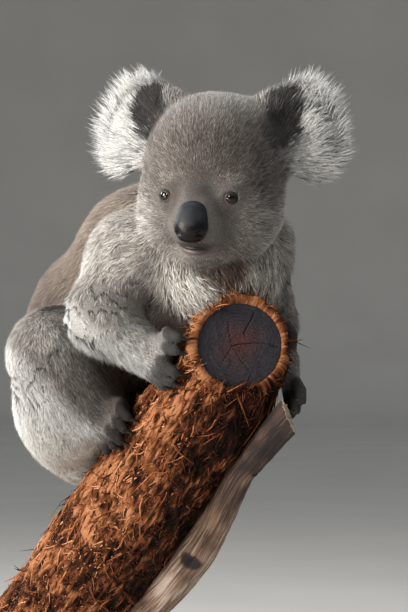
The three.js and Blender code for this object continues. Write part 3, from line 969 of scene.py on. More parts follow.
def coat_pieces(skin_points, skin_faces, skin_normals, finish):
    """The whole coat, in pieces by part of the body."""
    rng = np.random.default_rng(11)
    middles = skin_points[skin_faces].mean(axis=1)
    room = np.exp(shares(middles) @ np.log(lock_table(0)))
    root, normal = scatter(skin_points, skin_faces, skin_normals, room, rng)
    share = shares(root)
    length = share @ lock_table(1)
    width = share @ lock_table(2)
    lift = share @ lock_table(3)
    bend = share @ lock_table(4)
    part = {form.name: share[:, i] for i, form in enumerate(FORMS)}
    flow = sum(share[:, i:i + 1] * form.flow(root) for i, form in enumerate(FORMS))
    drift = np.stack([noise(root, 16, s) + 0.6 * noise(root, 6, s + 3) for s in (21, 22, 23)], axis=1)
    calm = 1 - 0.6 * (part["head"] + part["muzzle"] + part["chin"] + part["ear_right"] + part["ear_left"])
    flow = flow + drift * 0.24 * calm[:, None]
    way = unit(flow - normal * np.sum(flow * normal, axis=1, keepdims=True))
    head = within(root, "head")
    perch = within(root, "perch")
    face = part["head"] + part["muzzle"] + part["chin"]

    # The wool shortens towards the eyes and nose, and lengthens on cheeks, bib and ear rims.
    nose_gap = np.linalg.norm(head - [0, -78, -26], axis=1)
    length *= 1 - face * 0.5 * (1 - ease(nose_gap, 22, 75))
    width *= 1 - face * 0.35 * (1 - ease(nose_gap, 22, 75))
    for centre in EYES.values():
        length *= 1 - 0.45 * (1 - ease(np.linalg.norm(root - centre, axis=1), 10, 22))
    crown = ease(head[:, 2], 50, 76) * part["head"]
    length *= 1 + 0.2 * crown
    lift += 8 * crown
    jaw = ease(np.abs(head[:, 0]), 44, 62) * ease(-head[:, 2], -6, 30) * part["head"]
    length *= 1 + 0.35 * jaw
    bib = ease(-normal[:, 1], 0.0, 0.5) * (1 - ease(perch[:, 1], 0, 60)) * (part["trunk"] + part["neck"])
    length *= 1 + 0.75 * bib
    tousle = noise(root, 9, 31)
    length *= (1 + 0.15 * tousle) * rng.uniform(0.75, 1.2, len(root))
    lift += 6 * noise(root, 13, 32) + rng.normal(0, 5, len(root))

    # Wool hangs under the forearms, longest at the elbow.
    arms = sum(part[name] for name in part if name.startswith(("upper", "fore")))
    under = ease(-normal[:, 2], 0.1, 0.8) * arms
    length *= 1 + 0.6 * under
    way = unit(way + np.array([0, 0, -0.8]) * under[:, None])
    way = unit(way - normal * np.sum(way * normal, axis=1, keepdims=True) * (1 - 0.4 * under[:, None]))

    # On arms and haunches the wool opens in wandering cracks: locks stop short of them, and the
    # locks rooted in them are darker, partly the wool's dark base and partly painted shade in the crack.
    limbs = sum(part[name] for name in part if name.startswith(("upper", "fore", "thigh")))
    patchy = ease(noise(root, 38, 45) + 0.5 * noise(root, 13, 46), 0.1, 0.3) * (perch[:, 0] > 0)
    for centre, radii in (([-10, -120, 482], [78, 150, 40]), ([-88, -40, 442], [44, 150, 74])):
        patchy = np.maximum(patchy, ease(spread(root, "stand", centre, radii) + 0.7 * noise(root, 9, 46),
                                         0.15, 0.4))
    cracked = np.flatnonzero((patchy > 0.5) & (limbs > 0.6))
    shortened, floor = np.ones(len(root)), np.zeros(len(root))
    for reach in (1.0, 0.8, 0.6, 0.4, 0.2):
        spots = root[cracked] + way[cracked] * (0.85 * reach * length[cracked])[:, None]
        shortened[cracked[crack_distance(spots) < 1.2]] = max(0.2, reach - 0.2)
    floor[cracked] = 1 - ease(crack_distance(root[cracked]), 1.2, 2.0)
    length *= shortened * (1 - 0.45 * floor)
    # Painted shade: locks rooted in a crack are darkened.
    colours = markings(root, normal, share) * (1 - 0.9 * floor)[:, None]
    clumps = 1 + 0.22 * noise(root, 5.5, 54) + 0.2 * noise(root, 2.4, 55)
    colours *= clumps[:, None]
    fringe_share = np.zeros(len(root))
    for name, side in (("right", -1), ("left", 1)):
        ear = part["ear_" + name]
        turn = turned(-12, side * -14, side * 20, "XYZ")
        own = (head - [side * 73, 19, 50]) @ turn / [33, 10, 42]
        rim = ease(np.hypot(own[:, 0], own[:, 2]), 0.62, 0.98) * ear * ease(head[:, 0] * side, 50, 66)
        inner = ease(-own[:, 1], -0.2, 0.4) * (1 - rim) * ear
        outward = ease(own[:, 0] * side, -0.5, 0.3)
        length += rim * (5 + 9 * outward) * rng.uniform(0.6, 1.4, len(root))
        lift = lift * (1 - ear) + ear * (14 + 12 * inner + 14 * rng.random(len(root)))
        bend = bend * (1 - rim) + 0.18 * rim
        fringe_share += rim
    colours *= np.exp(rng.normal(0, 0.24 + 0.1 * face, len(root)))[:, None]
    salt = rng.random(len(root))
    ear = (part["ear_right"] + part["ear_left"])[:, None]
    colours *= np.where(salt < 0.2, 0.38, np.where(salt > 0.82, 1.5, 1.0))[:, None] ** (1 - 0.6 * ear)
    front = 0.8 * np.maximum(ear * ease(-normal[:, 1:2], -0.9, 0.0), fringe_share[:, None])
    soft = unit(normal * (1 - front) + np.array([-0.5, -0.7, 0.5]) * front)
    colours = np.clip(colours, 0.004, 0.9)
    sway = rng.normal(0, 0.12, len(root)) + 0.12 * noise(root, 8, 41)
    way = unit(way + np.cross(normal, way) * rng.normal(0, 0.2, len(root))[:, None] * calm[:, None])
    # Painted shade deep in the coat: how much darker each lock is at its root, less on the pale ears and
    # bib, more on the face.
    pale = part["ear_right"] + part["ear_left"] + 0.6 * bib
    dark = 0.55 - 0.37 * np.clip(pale, 0, 1) + 0.17 * face

    keep = grows(root, head, perch)
    main = share.argmax(axis=1)
    chest = (bib > 0.3) & np.isin(main, [0, 1])
    fringe = coat_wool("ear_fringe_wool", 0.25)
    names = [form.name for form in FORMS]
    for group, (slot, members) in COAT_GROUPS.items():
        numbers = [names.index(member) for member in members]
        chosen = keep & np.isin(main, numbers)
        if group in ("coat_back", "coat_chest"):
            chosen &= chest == (group == "coat_chest")
            if group == "coat_chest":
                chosen &= rng.random(len(root)) < CHEST_SHARE
        chosen = np.flatnonzero(chosen)
        patch = np.zeros((len(chosen), 2))
        for row, number in enumerate(numbers):
            mine = main[chosen] == number
            spot = unwrap(root[chosen[mine]], FORMS[number])
            patch[mine] = np.stack([spot[:, 0], (row + spot[:, 1]) / len(numbers)], axis=1)
        patch = 0.002 + patch * 0.996
        rings = 2 if group.startswith(("coat_ear", "coat_chest")) else 1
        limit = PIECE_TRIANGLES // (6 * rings - 2)
        parts = int(np.ceil(len(chosen) / limit))
        order = np.argsort(perch[chosen, 1] if group != "coat_head" else head[chosen, 2], kind="stable")
        for number, mine in enumerate(np.array_split(order, parts)):
            i = chosen[mine]
            points, faces, looks, shades, uv = locks_mesh(
                root[i], normal[i], way[i], length[i], width[i], lift[i], bend[i], sway[i], dark[i],
                colours[i], patch[mine], rings, soft[i])
            name = group if parts == 1 else f"{group}_{number + 1}"
            wool = fringe if group.startswith("coat_ear") else finish
            piece = mesh_piece(name, points, faces, wool, normals=looks)
            paint(piece, shades)
            store_map(piece, "OFBake", uv)


# ------------------------------------------------------------------ face
def nose_distance(own):
    """Distance from the leather of the nose, in the head's frame."""
    found = ball([0, -81, -38.5], [15, 12, 12])(own)
    found = joined(found, ball([0, -79, -29], [14.6, 11.5, 12])(own), 8)
    return joined(found, ball([0, -75, -20], [11.8, 10, 8.5])(own), 8)


MOUTH = np.array([[-15, -60, -53.5], [-11, -65, -54.8], [-6, -68.5, -56], [0, -70, -56.6],
                  [5, -68.5, -56.2], [9, -65, -55.6], [12.5, -60, -55]], float)


def mouth_distance(own):
    """Distance from the line of the mouth, in the head's frame."""
    found = np.full(len(own), 1e3)
    for start, end in zip(MOUTH[:-1], MOUTH[1:]):
        found = np.minimum(found, cone([*start, 0], [*end, 0])(own))
    return found


def nose_leather():
    """Wet black leather: pebbled about 0.7 mm apart, drier and more matt on top, with a soft painted
    sheen making it blue-grey above, and near black round the nostrils, partly painted shade below."""
    made, tree, shader = material("nose_leather")
    where = add(tree, "ShaderNodeTexCoord").outputs["Object"]
    pebble = add(tree, "ShaderNodeTexVoronoi", {"Scale": 1400.0}, {"Vector": where}, feature="SMOOTH_F1")
    cloud = add(tree, "ShaderNodeTexNoise", {"Scale": 90.0, "Detail": 3.0}, {"Vector": where})
    # The attribute read here paints a sheen, lighter towards the nose's top, and makes the top drier.
    sheen_and_dryness = add(tree, "ShaderNodeAttribute", attribute_name="nose_dust").outputs["Fac"]
    mixed = add(tree, "ShaderNodeMath", links={0: cloud, 1: sheen_and_dryness}, operation="MULTIPLY")
    colour = ramp(tree, mixed, [(0.0, "#050506"), (0.3, "#17191c"), (0.75, "#2c3036")])
    gloss = add(tree, "ShaderNodeMapRange", {"To Min": 0.3, "To Max": 0.55}, {"Value": sheen_and_dryness})
    dress(tree, shader, colour, gloss, 0.3, (pebble, 0.5, 0.0003))
    return made


def build_nose():
    """The nose with its two nostrils, each a comma that opens down and outwards."""
    low, high = np.array([-22.0, -97, -55]), np.array([22.0, -58, 1])
    step = 0.7
    size = grid_of(low, high, step)
    axes = [low[i] + step * np.arange(size[i]) for i in range(3)]
    own = lattice(axes)
    found = nose_distance(own)
    for side in (-1, 1):
        hole = cone([side * 6.0, -94, -44.5, 1.8], [side * 10.5, -89, -41, 2.8])(own)
        hole = joined(hole, cone([side * 11, -89.5, -41, 2.0], [side * 16, -81, -44, 1.3])(own), 2)
        found = -joined(-found, hole, 2.0)
    groove = cone([0, -95, -44, 1.0], [0, -88, -54, 1.2])(own)
    found = -joined(-found, groove, 1.6)
    points, faces = shell_of(found.reshape(size).astype(np.float32), low, step)
    points = smoothed(points, faces, 2)
    nose = mesh_piece("nose_leather", place(points, "head"), faces, nose_leather(), ["nose"])
    # Painted sheen and shade: lighter towards the top of the nose, darker below where it faces down.
    top_sheen_and_dryness = ease(points[:, 2] + 1.5 * noise(points, 6, 65), -36, -25)
    store_values(nose.data, "nose_dust", top_sheen_and_dryness)


def eye_glass():
    """Wet dark eye: brown iris round an upright slit, under a clear glossy cornea."""
    made, tree, shader = material("wet_brown_eye")
    gaze = add(tree, "ShaderNodeUVMap", uv_map="gaze").outputs["UV"]
    slit = add(tree, "ShaderNodeMapping", {"Scale": (1.0 / 0.3, 1.0 / 0.52, 1.0)}, {"Vector": gaze})
    off_slit = add(tree, "ShaderNodeVectorMath", links={"Vector": slit}, operation="LENGTH").outputs["Value"]
    away = add(tree, "ShaderNodeVectorMath", links={"Vector": gaze}, operation="LENGTH").outputs["Value"]
    fibres = add(tree, "ShaderNodeTexNoise", {"Scale": 9.0, "Detail": 2.0}, {"Vector": gaze})
    iris = ramp(tree, away, [(0.0, "#120a07"), (0.42, "#2a160e"), (0.56, "#0c0705"), (1.0, "#060404")])
    speckle = add(tree, "ShaderNodeMix", {"Factor": 0.4}, {6: iris, 7: fibres.outputs["Color"]},
                  data_type="RGBA", blend_type="MULTIPLY")
    pupil = add(tree, "ShaderNodeMapRange", {"From Min": 0.85, "From Max": 1.1}, {"Value": off_slit})
    mixed = add(tree, "ShaderNodeMix", {6: rgba("#040303")}, {0: pupil, 7: speckle.outputs[2]},
                data_type="RGBA")
    dress(tree, shader, mixed.outputs[2], 0.04)
    return made


def eyelid_skin():
    """Bare lid skin: dusky, finely creased about 0.8 mm apart, pinker along the lower lid."""
    made, tree, shader = material("eyelid_skin")
    colour = add(tree, "ShaderNodeAttribute", attribute_name="coat_colour").outputs["Color"]
    where = add(tree, "ShaderNodeTexCoord").outputs["Object"]
    crease = add(tree, "ShaderNodeTexNoise", {"Scale": 1200.0, "Detail": 2.0}, {"Vector": where})
    dress(tree, shader, colour, 0.5, bump=(crease, 0.5, 0.0003))
    return made


def gaze_frame(side):
    """The eye's own axes in the head's frame: across, up and out along its gaze."""
    out = unit(np.array([side * 0.42, -0.9, 0.02]))
    up = unit(np.array([0, 0, 1.0]) - out * out[2])
    return np.cross(up, out) * -1, up, out


def build_eyes():
    """Both eyeballs, and a rim of lid round each."""
    glass, lid_skin = eye_glass(), eyelid_skin()
    for name, side in (("right", -1), ("left", 1)):
        centre = np.array([side * EYE["half"], -EYE["forward"], EYE["up"]])
        across, up, out = gaze_frame(side)
        sides, rings = 40, 20
        points, gaze = [centre + out * EYE["radius"]], [[0, 0]]
        for ring in range(1, rings):
            tilt = math.pi * ring / rings
            for k in range(sides):
                a = 2 * math.pi * k / sides
                away = math.sin(tilt) * (math.cos(a) * across + math.sin(a) * up) + math.cos(tilt) * out
                points.append(centre + away * EYE["radius"])
                gaze.append([math.cos(a) * tilt / 1.2, math.sin(a) * tilt / 1.2])
        points.append(centre - out * EYE["radius"])
        gaze.append([2.5, 0])
        i = np.arange(sides)
        j = (i + 1) % sides
        quads = bands(rings - 1, sides, 1, other_way=True)
        last = 1 + (rings - 2) * sides
        caps = np.concatenate([np.stack([np.zeros(sides, int), 1 + i, 1 + j], 1),
                               np.stack([last + i, np.full(sides, len(points) - 1), last + j], 1)])
        faces = outward(np.array(points), [quads, caps])
        eye = mesh_piece("eye_ball_" + name, place(points, "head"), faces, glass, ["eye_" + name])
        store_map(eye, "gaze", np.array(gaze))

        # The lid's section, from its edge on the eyeball out under the wool: degrees off the gaze, height.
        section = [(-6, -0.9), (-1, 0.05), (1, 0.3), (4, 0.5), (8, 0.6), (14, 0.45), (22, 0.1),
                   (34, -0.6), (50, -2.0), (34, -2.8), (8, -1.8)]
        steps = 48
        points, colours = [], []
        for k in range(steps):
            a = 2 * math.pi * k / steps
            opening = 39 + 4 * math.cos(2 * a) - 6 * max(0, math.sin(a))
            opening += 7 * max(0, math.cos(a) * -side) ** 4
            lower = ease(np.array([-math.sin(a)]), 0.0, 0.8)[0]
            for number, (off, height) in enumerate(section):
                tilt = math.radians(opening + off)
                away = math.sin(tilt) * (math.cos(a) * across + math.sin(a) * up) + math.cos(tilt) * out
                swell = height * (1 + 0.25 * lower * (height > 0))
                points.append(centre + away * (EYE["radius"] + swell))
                edge = number in (0, 1, 2, 3, 10)
                plain = linear("#2d2725") * (1 - lower) + linear("#6b524b") * lower
                plain = linear("#120d0c") if edge else plain
                colours.append(plain)
        wide = len(section)
        k, s = np.meshgrid(np.arange(steps), np.arange(wide), indexing="ij")
        kn, sn = (k + 1) % steps, (s + 1) % wide
        quads = np.stack([k * wide + s, kn * wide + s, kn * wide + sn, k * wide + sn], -1).reshape(-1, 4)
        lid = mesh_piece("eyelids_" + name, place(points, "head"), outward(np.array(points), [quads]),
                         lid_skin)
        paint(lid, np.array(colours))


def outward(points, faces):
    """The same faces, turned round together if they enclose a negative volume."""
    volume = 0.0
    for group in faces:
        for i in range(1, group.shape[1] - 1):
            a, b, c = points[group[:, 0]], points[group[:, i]], points[group[:, i + 1]]
            volume += np.sum(np.cross(a, b) * c)
    return faces if volume > 0 else [group[:, ::-1] for group in faces]


def smooth_path(corners, count):
    """A smooth line through the given corners, with that many points."""
    corners = np.asarray(corners, float)
    at = np.linspace(0, len(corners) - 1, count)
    i = np.clip(at.astype(int), 0, len(corners) - 2)
    t = (at - i)[:, None]
    before, after = corners[np.maximum(i - 1, 0)], corners[np.minimum(i + 2, len(corners) - 1)]
    a, b = corners[i], corners[i + 1]
    return 0.5 * (2 * a + (b - before) * t + (2 * before - 5 * a + 4 * b - after) * t ** 2
                  + (3 * a - before - 3 * b + after) * t ** 3)


def build_mouth():
    """The closed lips: a dark line, and the rolled pink lower lip under it."""
    lip_skin = eyelid_skin()
    path = smooth_path(MOUTH, 40)
    share = np.sin(np.linspace(0, math.pi, 40))
    points, faces = tube(path + [0, 0.5, 0.8], 0.4 + 1.6 * share ** 0.5, 10)
    upper = mesh_piece("lip_upper", place(points, "head"), outward(points, faces), lip_skin)
    paint(upper, np.tile(linear("#241c1b"), (len(points), 1)))
    points, faces = tube(path + [0, 3.2, -2.6], 0.4 + 2.7 * share ** 0.5, 12)
    lower = mesh_piece("lip_lower", place(points, "head"), outward(points, faces), lip_skin)
    paint(lower, np.tile(linear("#5f5450"), (len(points), 1)))


# ------------------------------------------------------------------ claws
def claw_horn():
    """Black horn, polished by bark, with faint growth lines about 1 mm apart."""
    made, tree, shader = material("black_claw_horn")
    where = add(tree, "ShaderNodeTexCoord").outputs["Object"]
    grain = add(tree, "ShaderNodeTexNoise", {"Scale": 700.0, "Detail": 2.0}, {"Vector": where})
    colour = ramp(tree, grain, [(0.35, "#060607"), (0.75, "#1d1b1a")])
    dress(tree, shader, colour, 0.28, bump=(grain, 0.25, 0.0002))
    return made


def build_claws():
    """Curved claws at the ends of the digits, one piece for each hand and foot."""
    horn = claw_horn()
    for side, sign in (("right", -1), ("left", 1)):
        for limb, extremity, bare in (("hand", HANDS[side], ()), ("foot", FOOT, (0,))):
            points, faces, count, nodes = [], [[], []], 0, []
            for number, (line, radius) in enumerate(digits_of(extremity, limb == "foot" and sign > 0)):
                if number in bare:
                    continue
                knuckle, tip = np.array(line[1]), np.array(line[2])
                onward = unit(tip - knuckle)
                bow_x, bow_z = bow_at(tip[1])
                inward = unit(np.array([bow_x, tip[1], bow_z]) - tip)
                share = np.linspace(0, 1, 12)[:, None]
                reach = share * 0.8 - 0.25 * share ** 2
                path = tip + onward * CLAW["length"] * reach + inward * 8.5 * share ** 1.5
                girth = (CLAW["root"] + (CLAW["tip"] - CLAW["root"]) * share[:, 0] ** 1.3) * radius / 6.5
                ring, sides = tube(path, girth, 10)
                points.append(ring)
                for kind, group in enumerate(outward(ring, sides)):
                    faces[kind].append(group + count)
                count += len(ring)
                nodes.append(f"{limb}_{side}_claw_{number + 1}")
            mesh_piece(f"claws_{limb}_{side}", place(np.concatenate(points), "perch"),
                       [np.concatenate(group) for group in faces], horn, nodes)


# ------------------------------------------------------------------ perch
def drawn_out(tree, uv, squeeze, detail, **settings):
    """Noise drawn out along a map whose first number runs across the grain and whose second
    runs along it."""
    long = add(tree, "ShaderNodeMapping", {"Scale": (*squeeze, 1.0)}, {"Vector": uv})
    return add(tree, "ShaderNodeTexNoise", {"Scale": 1.0, "Detail": detail, **settings}, {"Vector": long})


def sum_of(tree, *terms):
    """The terms added up, one after the other."""
    total = terms[0]
    for term in terms[1:]:
        total = add(tree, "ShaderNodeMath", links={0: total, 1: term}, operation="ADD")
    return total


def shaggy_bark():
    """Stringy eucalypt bark: fibres about 2 mm apart run down the log, orange-brown on the
    ridges and near black in the splits; its tone holds painted shade in the hollows and on
    the log's lower side, and painted light on the ridges and along the sawn rim."""
    made, tree, shader = material("shaggy_bark")
    fibre_map = add(tree, "ShaderNodeUVMap", uv_map="bark").outputs["UV"]
    tone = add(tree, "ShaderNodeAttribute", attribute_name="bark_tone").outputs["Fac"]
    fibres = drawn_out(tree, fibre_map, (380.0, 60.0), 5.0, Roughness=0.65, Distortion=0.6)
    cloud = drawn_out(tree, fibre_map, (70.0, 40.0), 3.0)
    shift = add(tree, "ShaderNodeMath", {1: 0.55}, {0: cloud}, operation="MULTIPLY")
    colour = ramp(tree, sum_of(tree, fibres, shift, tone),
                  [(0.42, "#0b0401"), (0.64, "#381b0e"), (0.84, "#764629"), (1.0, "#a8724e")])
    dress(tree, shader, colour, 0.9, 0.1, (fibres, 0.9, 0.0022))
    return made


def bark_height(angle, along, radius):
    """How far the bark stands off the log's own round: ridges with the branch's collar, then torn lumps."""
    ridges = 1.3 * (np.sin(3 * angle + along / 70) + 0.7 * np.sin(5 * angle - along / 43 + 1))
    ridges += 0.8 * np.sin(9 * angle + along / 29 + 2)
    aside = (np.degrees(angle) - COLLAR["around"] + 180) % 360 - 180
    ridges += COLLAR["rise"] * np.exp(-(aside / COLLAR["wide"]) ** 2
                                      - ((along - COLLAR["along"]) / COLLAR["long"]) ** 2)

    # Noise read round a cylinder keeps its two edges joined; the log's length is squeezed to
    # draw out fibres.
    def wound(across, down, seed):
        spots = np.stack([np.sin(angle) * radius / across, along / down, np.cos(angle) * radius / across],
                         axis=1)
        return noise(spots, 1.0, seed)

    plates, lumps = wound(11, 34, 51), wound(4.5, 19, 52)
    cords, threads = wound(2.3, 17, 53), wound(1.3, 9, 56)
    torn = plates * 2.2 + (1 - 2 * np.abs(lumps)) * 1.4
    return ridges, torn + (0.5 - np.abs(cords)) * 2.4 + threads * 0.9 - 1.2


def shaded_side(angle):
    """Painted shade: 1 on the log's lower side, turned from the lamps, and 0 on its lit side."""
    facing = np.stack([np.sin(angle), np.zeros_like(angle), np.cos(angle)], axis=1) @ HOMES["perch"][1].T
    return ease(facing @ np.array([0.8, -0.1, -0.6]), -0.25, 0.75)


def log_ring(out, angle, along, down):
    """Corners round the log at these distances from its axis, sheared near its upper end to the
    saw's cut."""
    x, z = out * np.sin(angle), out * np.cos(angle)
    cut = max(0, 1 - along / SAW["fades"]) * (SAW["across_x"] * x + SAW["across_z"] * z)
    bow_x, bow_z = bow_at(down)
    return np.stack([x + bow_x, down - cut, z + bow_z], axis=1)


def build_log():
    """The log's bark as one closed skin, from inside the sawn rim down to its foot."""
    sides, rows = 190, 170
    angle = np.linspace(0, 2 * math.pi, sides, endpoint=False)
    profile = [(LOG["heart"], 4.0, 0), (LOG["heart"] + 0.6, -0.5, 0.1),
               (LOG["heart"] + 2.2, -LOG["rim"], 0.35),
               (LOG["top"] - 3.5, -LOG["rim"] - 0.4, 0.6), (LOG["top"] - 1.2, -LOG["rim"] + 0.4, 0.9)]
    for row in range(rows):
        along = 0.4 + (LOG["length"] - 2.4) * (row / (rows - 1)) ** 1.15
        profile.append((log_radius(along), along, 1))
    profile += [(LOG["foot"] - 4, LOG["length"], 0.6)]
    points, tones, uv = [], [], []
    walked, before = 0.0, profile[0]
    for radius, along, rough in profile:
        walked += math.hypot(radius - before[0], along - before[1])
        before = (radius, along)
        down = np.full(sides, float(along))
        ridges, texture = bark_height(angle, down, LOG["top"])
        ridged = ridges * min(1, max(0, (radius - LOG["top"] + 4) / 4))
        out = radius + rough * (ridged + texture * min(1, 0.4 + along / 20))
        frayed = noise(np.stack([angle * 14, down * 0, down * 0], 1), 1.0, 57)
        down = down + rough * 0.7 * frayed * (along < 1)
        points.append(log_ring(out, angle, along, down))
        # Painted light and shade: darker in the bark's hollows and lighter on its ridges, darker on the
        # log's lower side, and lighter along the sawn rim.
        tones.append((texture * 0.12 - 0.24 * shaded_side(angle)) * rough + 0.12 * math.exp(-max(along, 0) / 8))
        uv.append(np.stack([angle * LOG["top"] * MM, np.full(sides, walked * MM)], axis=1))
    rings = len(profile)
    middle = points[-1].mean(axis=0)
    points = np.concatenate([*points, [middle]])
    i = np.arange(sides)
    j = (i + 1) % sides
    quads = bands(rings, sides, other_way=True)
    last = (rings - 1) * sides
    foot = np.stack([last + i, np.full(sides, len(points) - 1), last + j], 1)
    inner = np.array([[*points[:sides].mean(axis=0)]])
    points = np.concatenate([points, inner])
    cap = np.stack([i, j, np.full(sides, len(points) - 1)], 1)
    log = mesh_piece("log_bark", place(points, "perch"),
                     outward(points, [quads, np.concatenate([foot, cap])]),
                     shaggy_bark(), ["perch_log"])
    tones = np.concatenate([*tones, [0, 0]])
    store_values(log.data, "bark_tone", tones)
    uv = np.concatenate([*uv, [[0, LOG["length"] * MM], [0, 0]]])
    store_map(log, "bark", uv)


def torn_fibre():
    """Torn bark fibre: dry, matt, orange where it has been rubbed, and darker brown on the
    log's lower side, where shade is painted."""
    made, tree, shader = material("torn_bark_fibre")
    tone = add(tree, "ShaderNodeAttribute", attribute_name="fibre_tone").outputs["Fac"]
    damp = add(tree, "ShaderNodeAttribute", attribute_name="damp").outputs["Fac"]
    where = add(tree, "ShaderNodeTexCoord").outputs["Object"]
    grain = add(tree, "ShaderNodeTexNoise", {"Scale": 500.0, "Detail": 2.0}, {"Vector": where})
    cloud = add(tree, "ShaderNodeTexNoise", {"Scale": 26.0, "Detail": 3.0}, {"Vector": where})
    both = add(tree, "ShaderNodeMath", {1: 0.25}, {0: grain}, operation="MULTIPLY")
    wide = add(tree, "ShaderNodeMath", {1: 0.5}, {0: cloud, 2: both}, operation="MULTIPLY_ADD")
    # Painted shade: the strips darker on the log's lower side.
    tone_less_shade = add(tree, "ShaderNodeMath", {1: -0.3}, {0: damp, 2: tone}, operation="MULTIPLY_ADD")
    colour = ramp(tree, sum_of(tree, wide, tone_less_shade),
                  [(0.12, "#1c0b04"), (0.34, "#5f3219"), (0.55, "#a9673f"), (0.8, "#e2ae85")])
    dress(tree, shader, colour, 0.9, 0.15, (grain, 0.6, 0.0006))
    return made


def fibre_tree(finish):
    """Geometry nodes that scatter torn strips over a surface whose `grain` attribute says which
    way they run."""
    tree = bpy.data.node_groups.new("torn_bark_strips", "GeometryNodeTree")
    sizes = {"Strip length": 0.016, "Strip width": 0.0011, "Strips per square metre": 26000.0,
             "Stray turn": 0.5, "Lift": 0.35, "Curl": 0.3}
    tree.interface.new_socket("Geometry", in_out="INPUT", socket_type="NodeSocketGeometry")
    for name, value in sizes.items():
        tree.interface.new_socket(name, in_out="INPUT", socket_type="NodeSocketFloat").default_value = value
    tree.interface.new_socket("Geometry", in_out="OUTPUT", socket_type="NodeSocketGeometry")
    given = add(tree, "NodeGroupInput").outputs

    # Six strips along X, each bent its own way, as slivers with three sides and closed ends.
    share = add(tree, "GeometryNodeSplineParameter").outputs["Factor"]
    squared = add(tree, "ShaderNodeMath", links={0: share, 1: share}, operation="MULTIPLY").outputs["Value"]
    end = add(tree, "ShaderNodeCombineXYZ", links={"X": given["Strip length"]})
    line = add(tree, "GeometryNodeCurvePrimitiveLine", links={"End": end})
    points = add(tree, "GeometryNodeResampleCurve", {"Count": 3}, {"Curve": line})
    taper = add(tree, "ShaderNodeMapRange",
                {"From Min": 0.35, "From Max": 1.0, "To Min": 1.0, "To Max": 0.25},
                {"Value": share})
    girth = add(tree, "ShaderNodeMath", links={0: taper, 1: given["Strip width"]}, operation="MULTIPLY")
    reach = add(tree, "ShaderNodeMath", links={0: given["Curl"], 1: given["Strip length"]},
                operation="MULTIPLY")
    rounder = add(tree, "GeometryNodeCurvePrimitiveCircle", {"Resolution": 3, "Radius": 1.0})
    flat = add(tree, "GeometryNodeTransform", {"Scale": (1.0, 0.45, 1.0)}, {"Geometry": rounder})
    kinds = add(tree, "GeometryNodeJoinGeometry")
    for rise, drift in ((0.9, 0.5), (0.4, -0.8), (1.4, 0.2), (0.1, 0.9), (0.7, -0.3), (-0.1, 0.1)):
        up = add(tree, "ShaderNodeMath", {1: rise}, {0: squared}, operation="MULTIPLY")
        aside = add(tree, "ShaderNodeMath", {1: drift}, {0: squared}, operation="MULTIPLY")
        bend = add(tree, "ShaderNodeCombineXYZ", links={"Y": aside, "Z": up})
        scaled = add(tree, "ShaderNodeVectorMath", operation="SCALE")
        wire(tree, bend, scaled.inputs[0])
        wire(tree, reach, scaled.inputs["Scale"])
        bent = add(tree, "GeometryNodeSetPosition", links={"Geometry": points,
                                                           "Offset": scaled})
        strip = add(tree, "GeometryNodeCurveToMesh", {"Fill Caps": True},
                    {"Curve": bent, "Profile Curve": flat,
                     "Scale": girth})
        kind = add(tree, "GeometryNodeGeometryToInstance", links={"Geometry": strip})
        wire(tree, kind, kinds.inputs["Geometry"])

    spots = add(tree, "GeometryNodeDistributePointsOnFaces", {"Seed": 5},
                {"Mesh": given["Geometry"],
                 "Density": given["Strips per square metre"]}, distribute_method="RANDOM")
    grain = add(tree, "GeometryNodeInputNamedAttribute", {"Name": "grain"}, data_type="FLOAT_VECTOR")
    stand_up = add(tree, "FunctionNodeAlignRotationToVector", links={"Vector": spots.outputs["Normal"]},
                   axis="Z")
    down_log = add(tree, "FunctionNodeAlignRotationToVector",
                   links={"Rotation": stand_up, "Vector": grain},
                   axis="X", pivot_axis="Z")
    turn_least = add(tree, "ShaderNodeMath", {1: -1.0}, {0: given["Stray turn"]}, operation="MULTIPLY")
    lift_most = add(tree, "ShaderNodeMath", {1: -1.0}, {0: given["Lift"]}, operation="MULTIPLY")
    least = add(tree, "ShaderNodeCombineXYZ", {"X": -0.9},
                {"Y": lift_most, "Z": turn_least})
    most = add(tree, "ShaderNodeCombineXYZ", {"X": 0.9, "Y": 0.05}, {"Z": given["Stray turn"]})
    stray = add(tree, "FunctionNodeRandomValue", {"Seed": 6}, {0: least, 1: most},
                data_type="FLOAT_VECTOR")
    swung = add(tree, "FunctionNodeRotateRotation",
                  links={"Rotation": down_log, "Rotate By": stray.outputs[0]},
                  rotation_space="LOCAL")
    which = add(tree, "FunctionNodeRandomValue", {4: 0, 5: 5, "Seed": 7}, data_type="INT")
    size = add(tree, "FunctionNodeRandomValue", {2: 0.55, 3: 1.6, "Seed": 8}, data_type="FLOAT")
    placed = add(tree, "GeometryNodeInstanceOnPoints", {"Pick Instance": True},
                 {"Points": spots, "Instance": kinds,
                  "Instance Index": which.outputs[2], "Rotation": swung,
                  "Scale": size.outputs[1]})
    tone = add(tree, "FunctionNodeRandomValue", {2: -0.28, 3: 0.36, "Seed": 9}, data_type="FLOAT")
    toned = add(tree, "GeometryNodeStoreNamedAttribute", {"Name": "fibre_tone"},
                {"Geometry": placed, "Value": tone.outputs[1]}, data_type="FLOAT", domain="INSTANCE")
    whole = add(tree, "GeometryNodeRealizeInstances", links={"Geometry": toned})
    dressed = add(tree, "GeometryNodeSetMaterial", {"Material": finish}, {"Geometry": whole})
    out = add(tree, "NodeGroupOutput")
    wire(tree, dressed, out.inputs["Geometry"])
    return tree


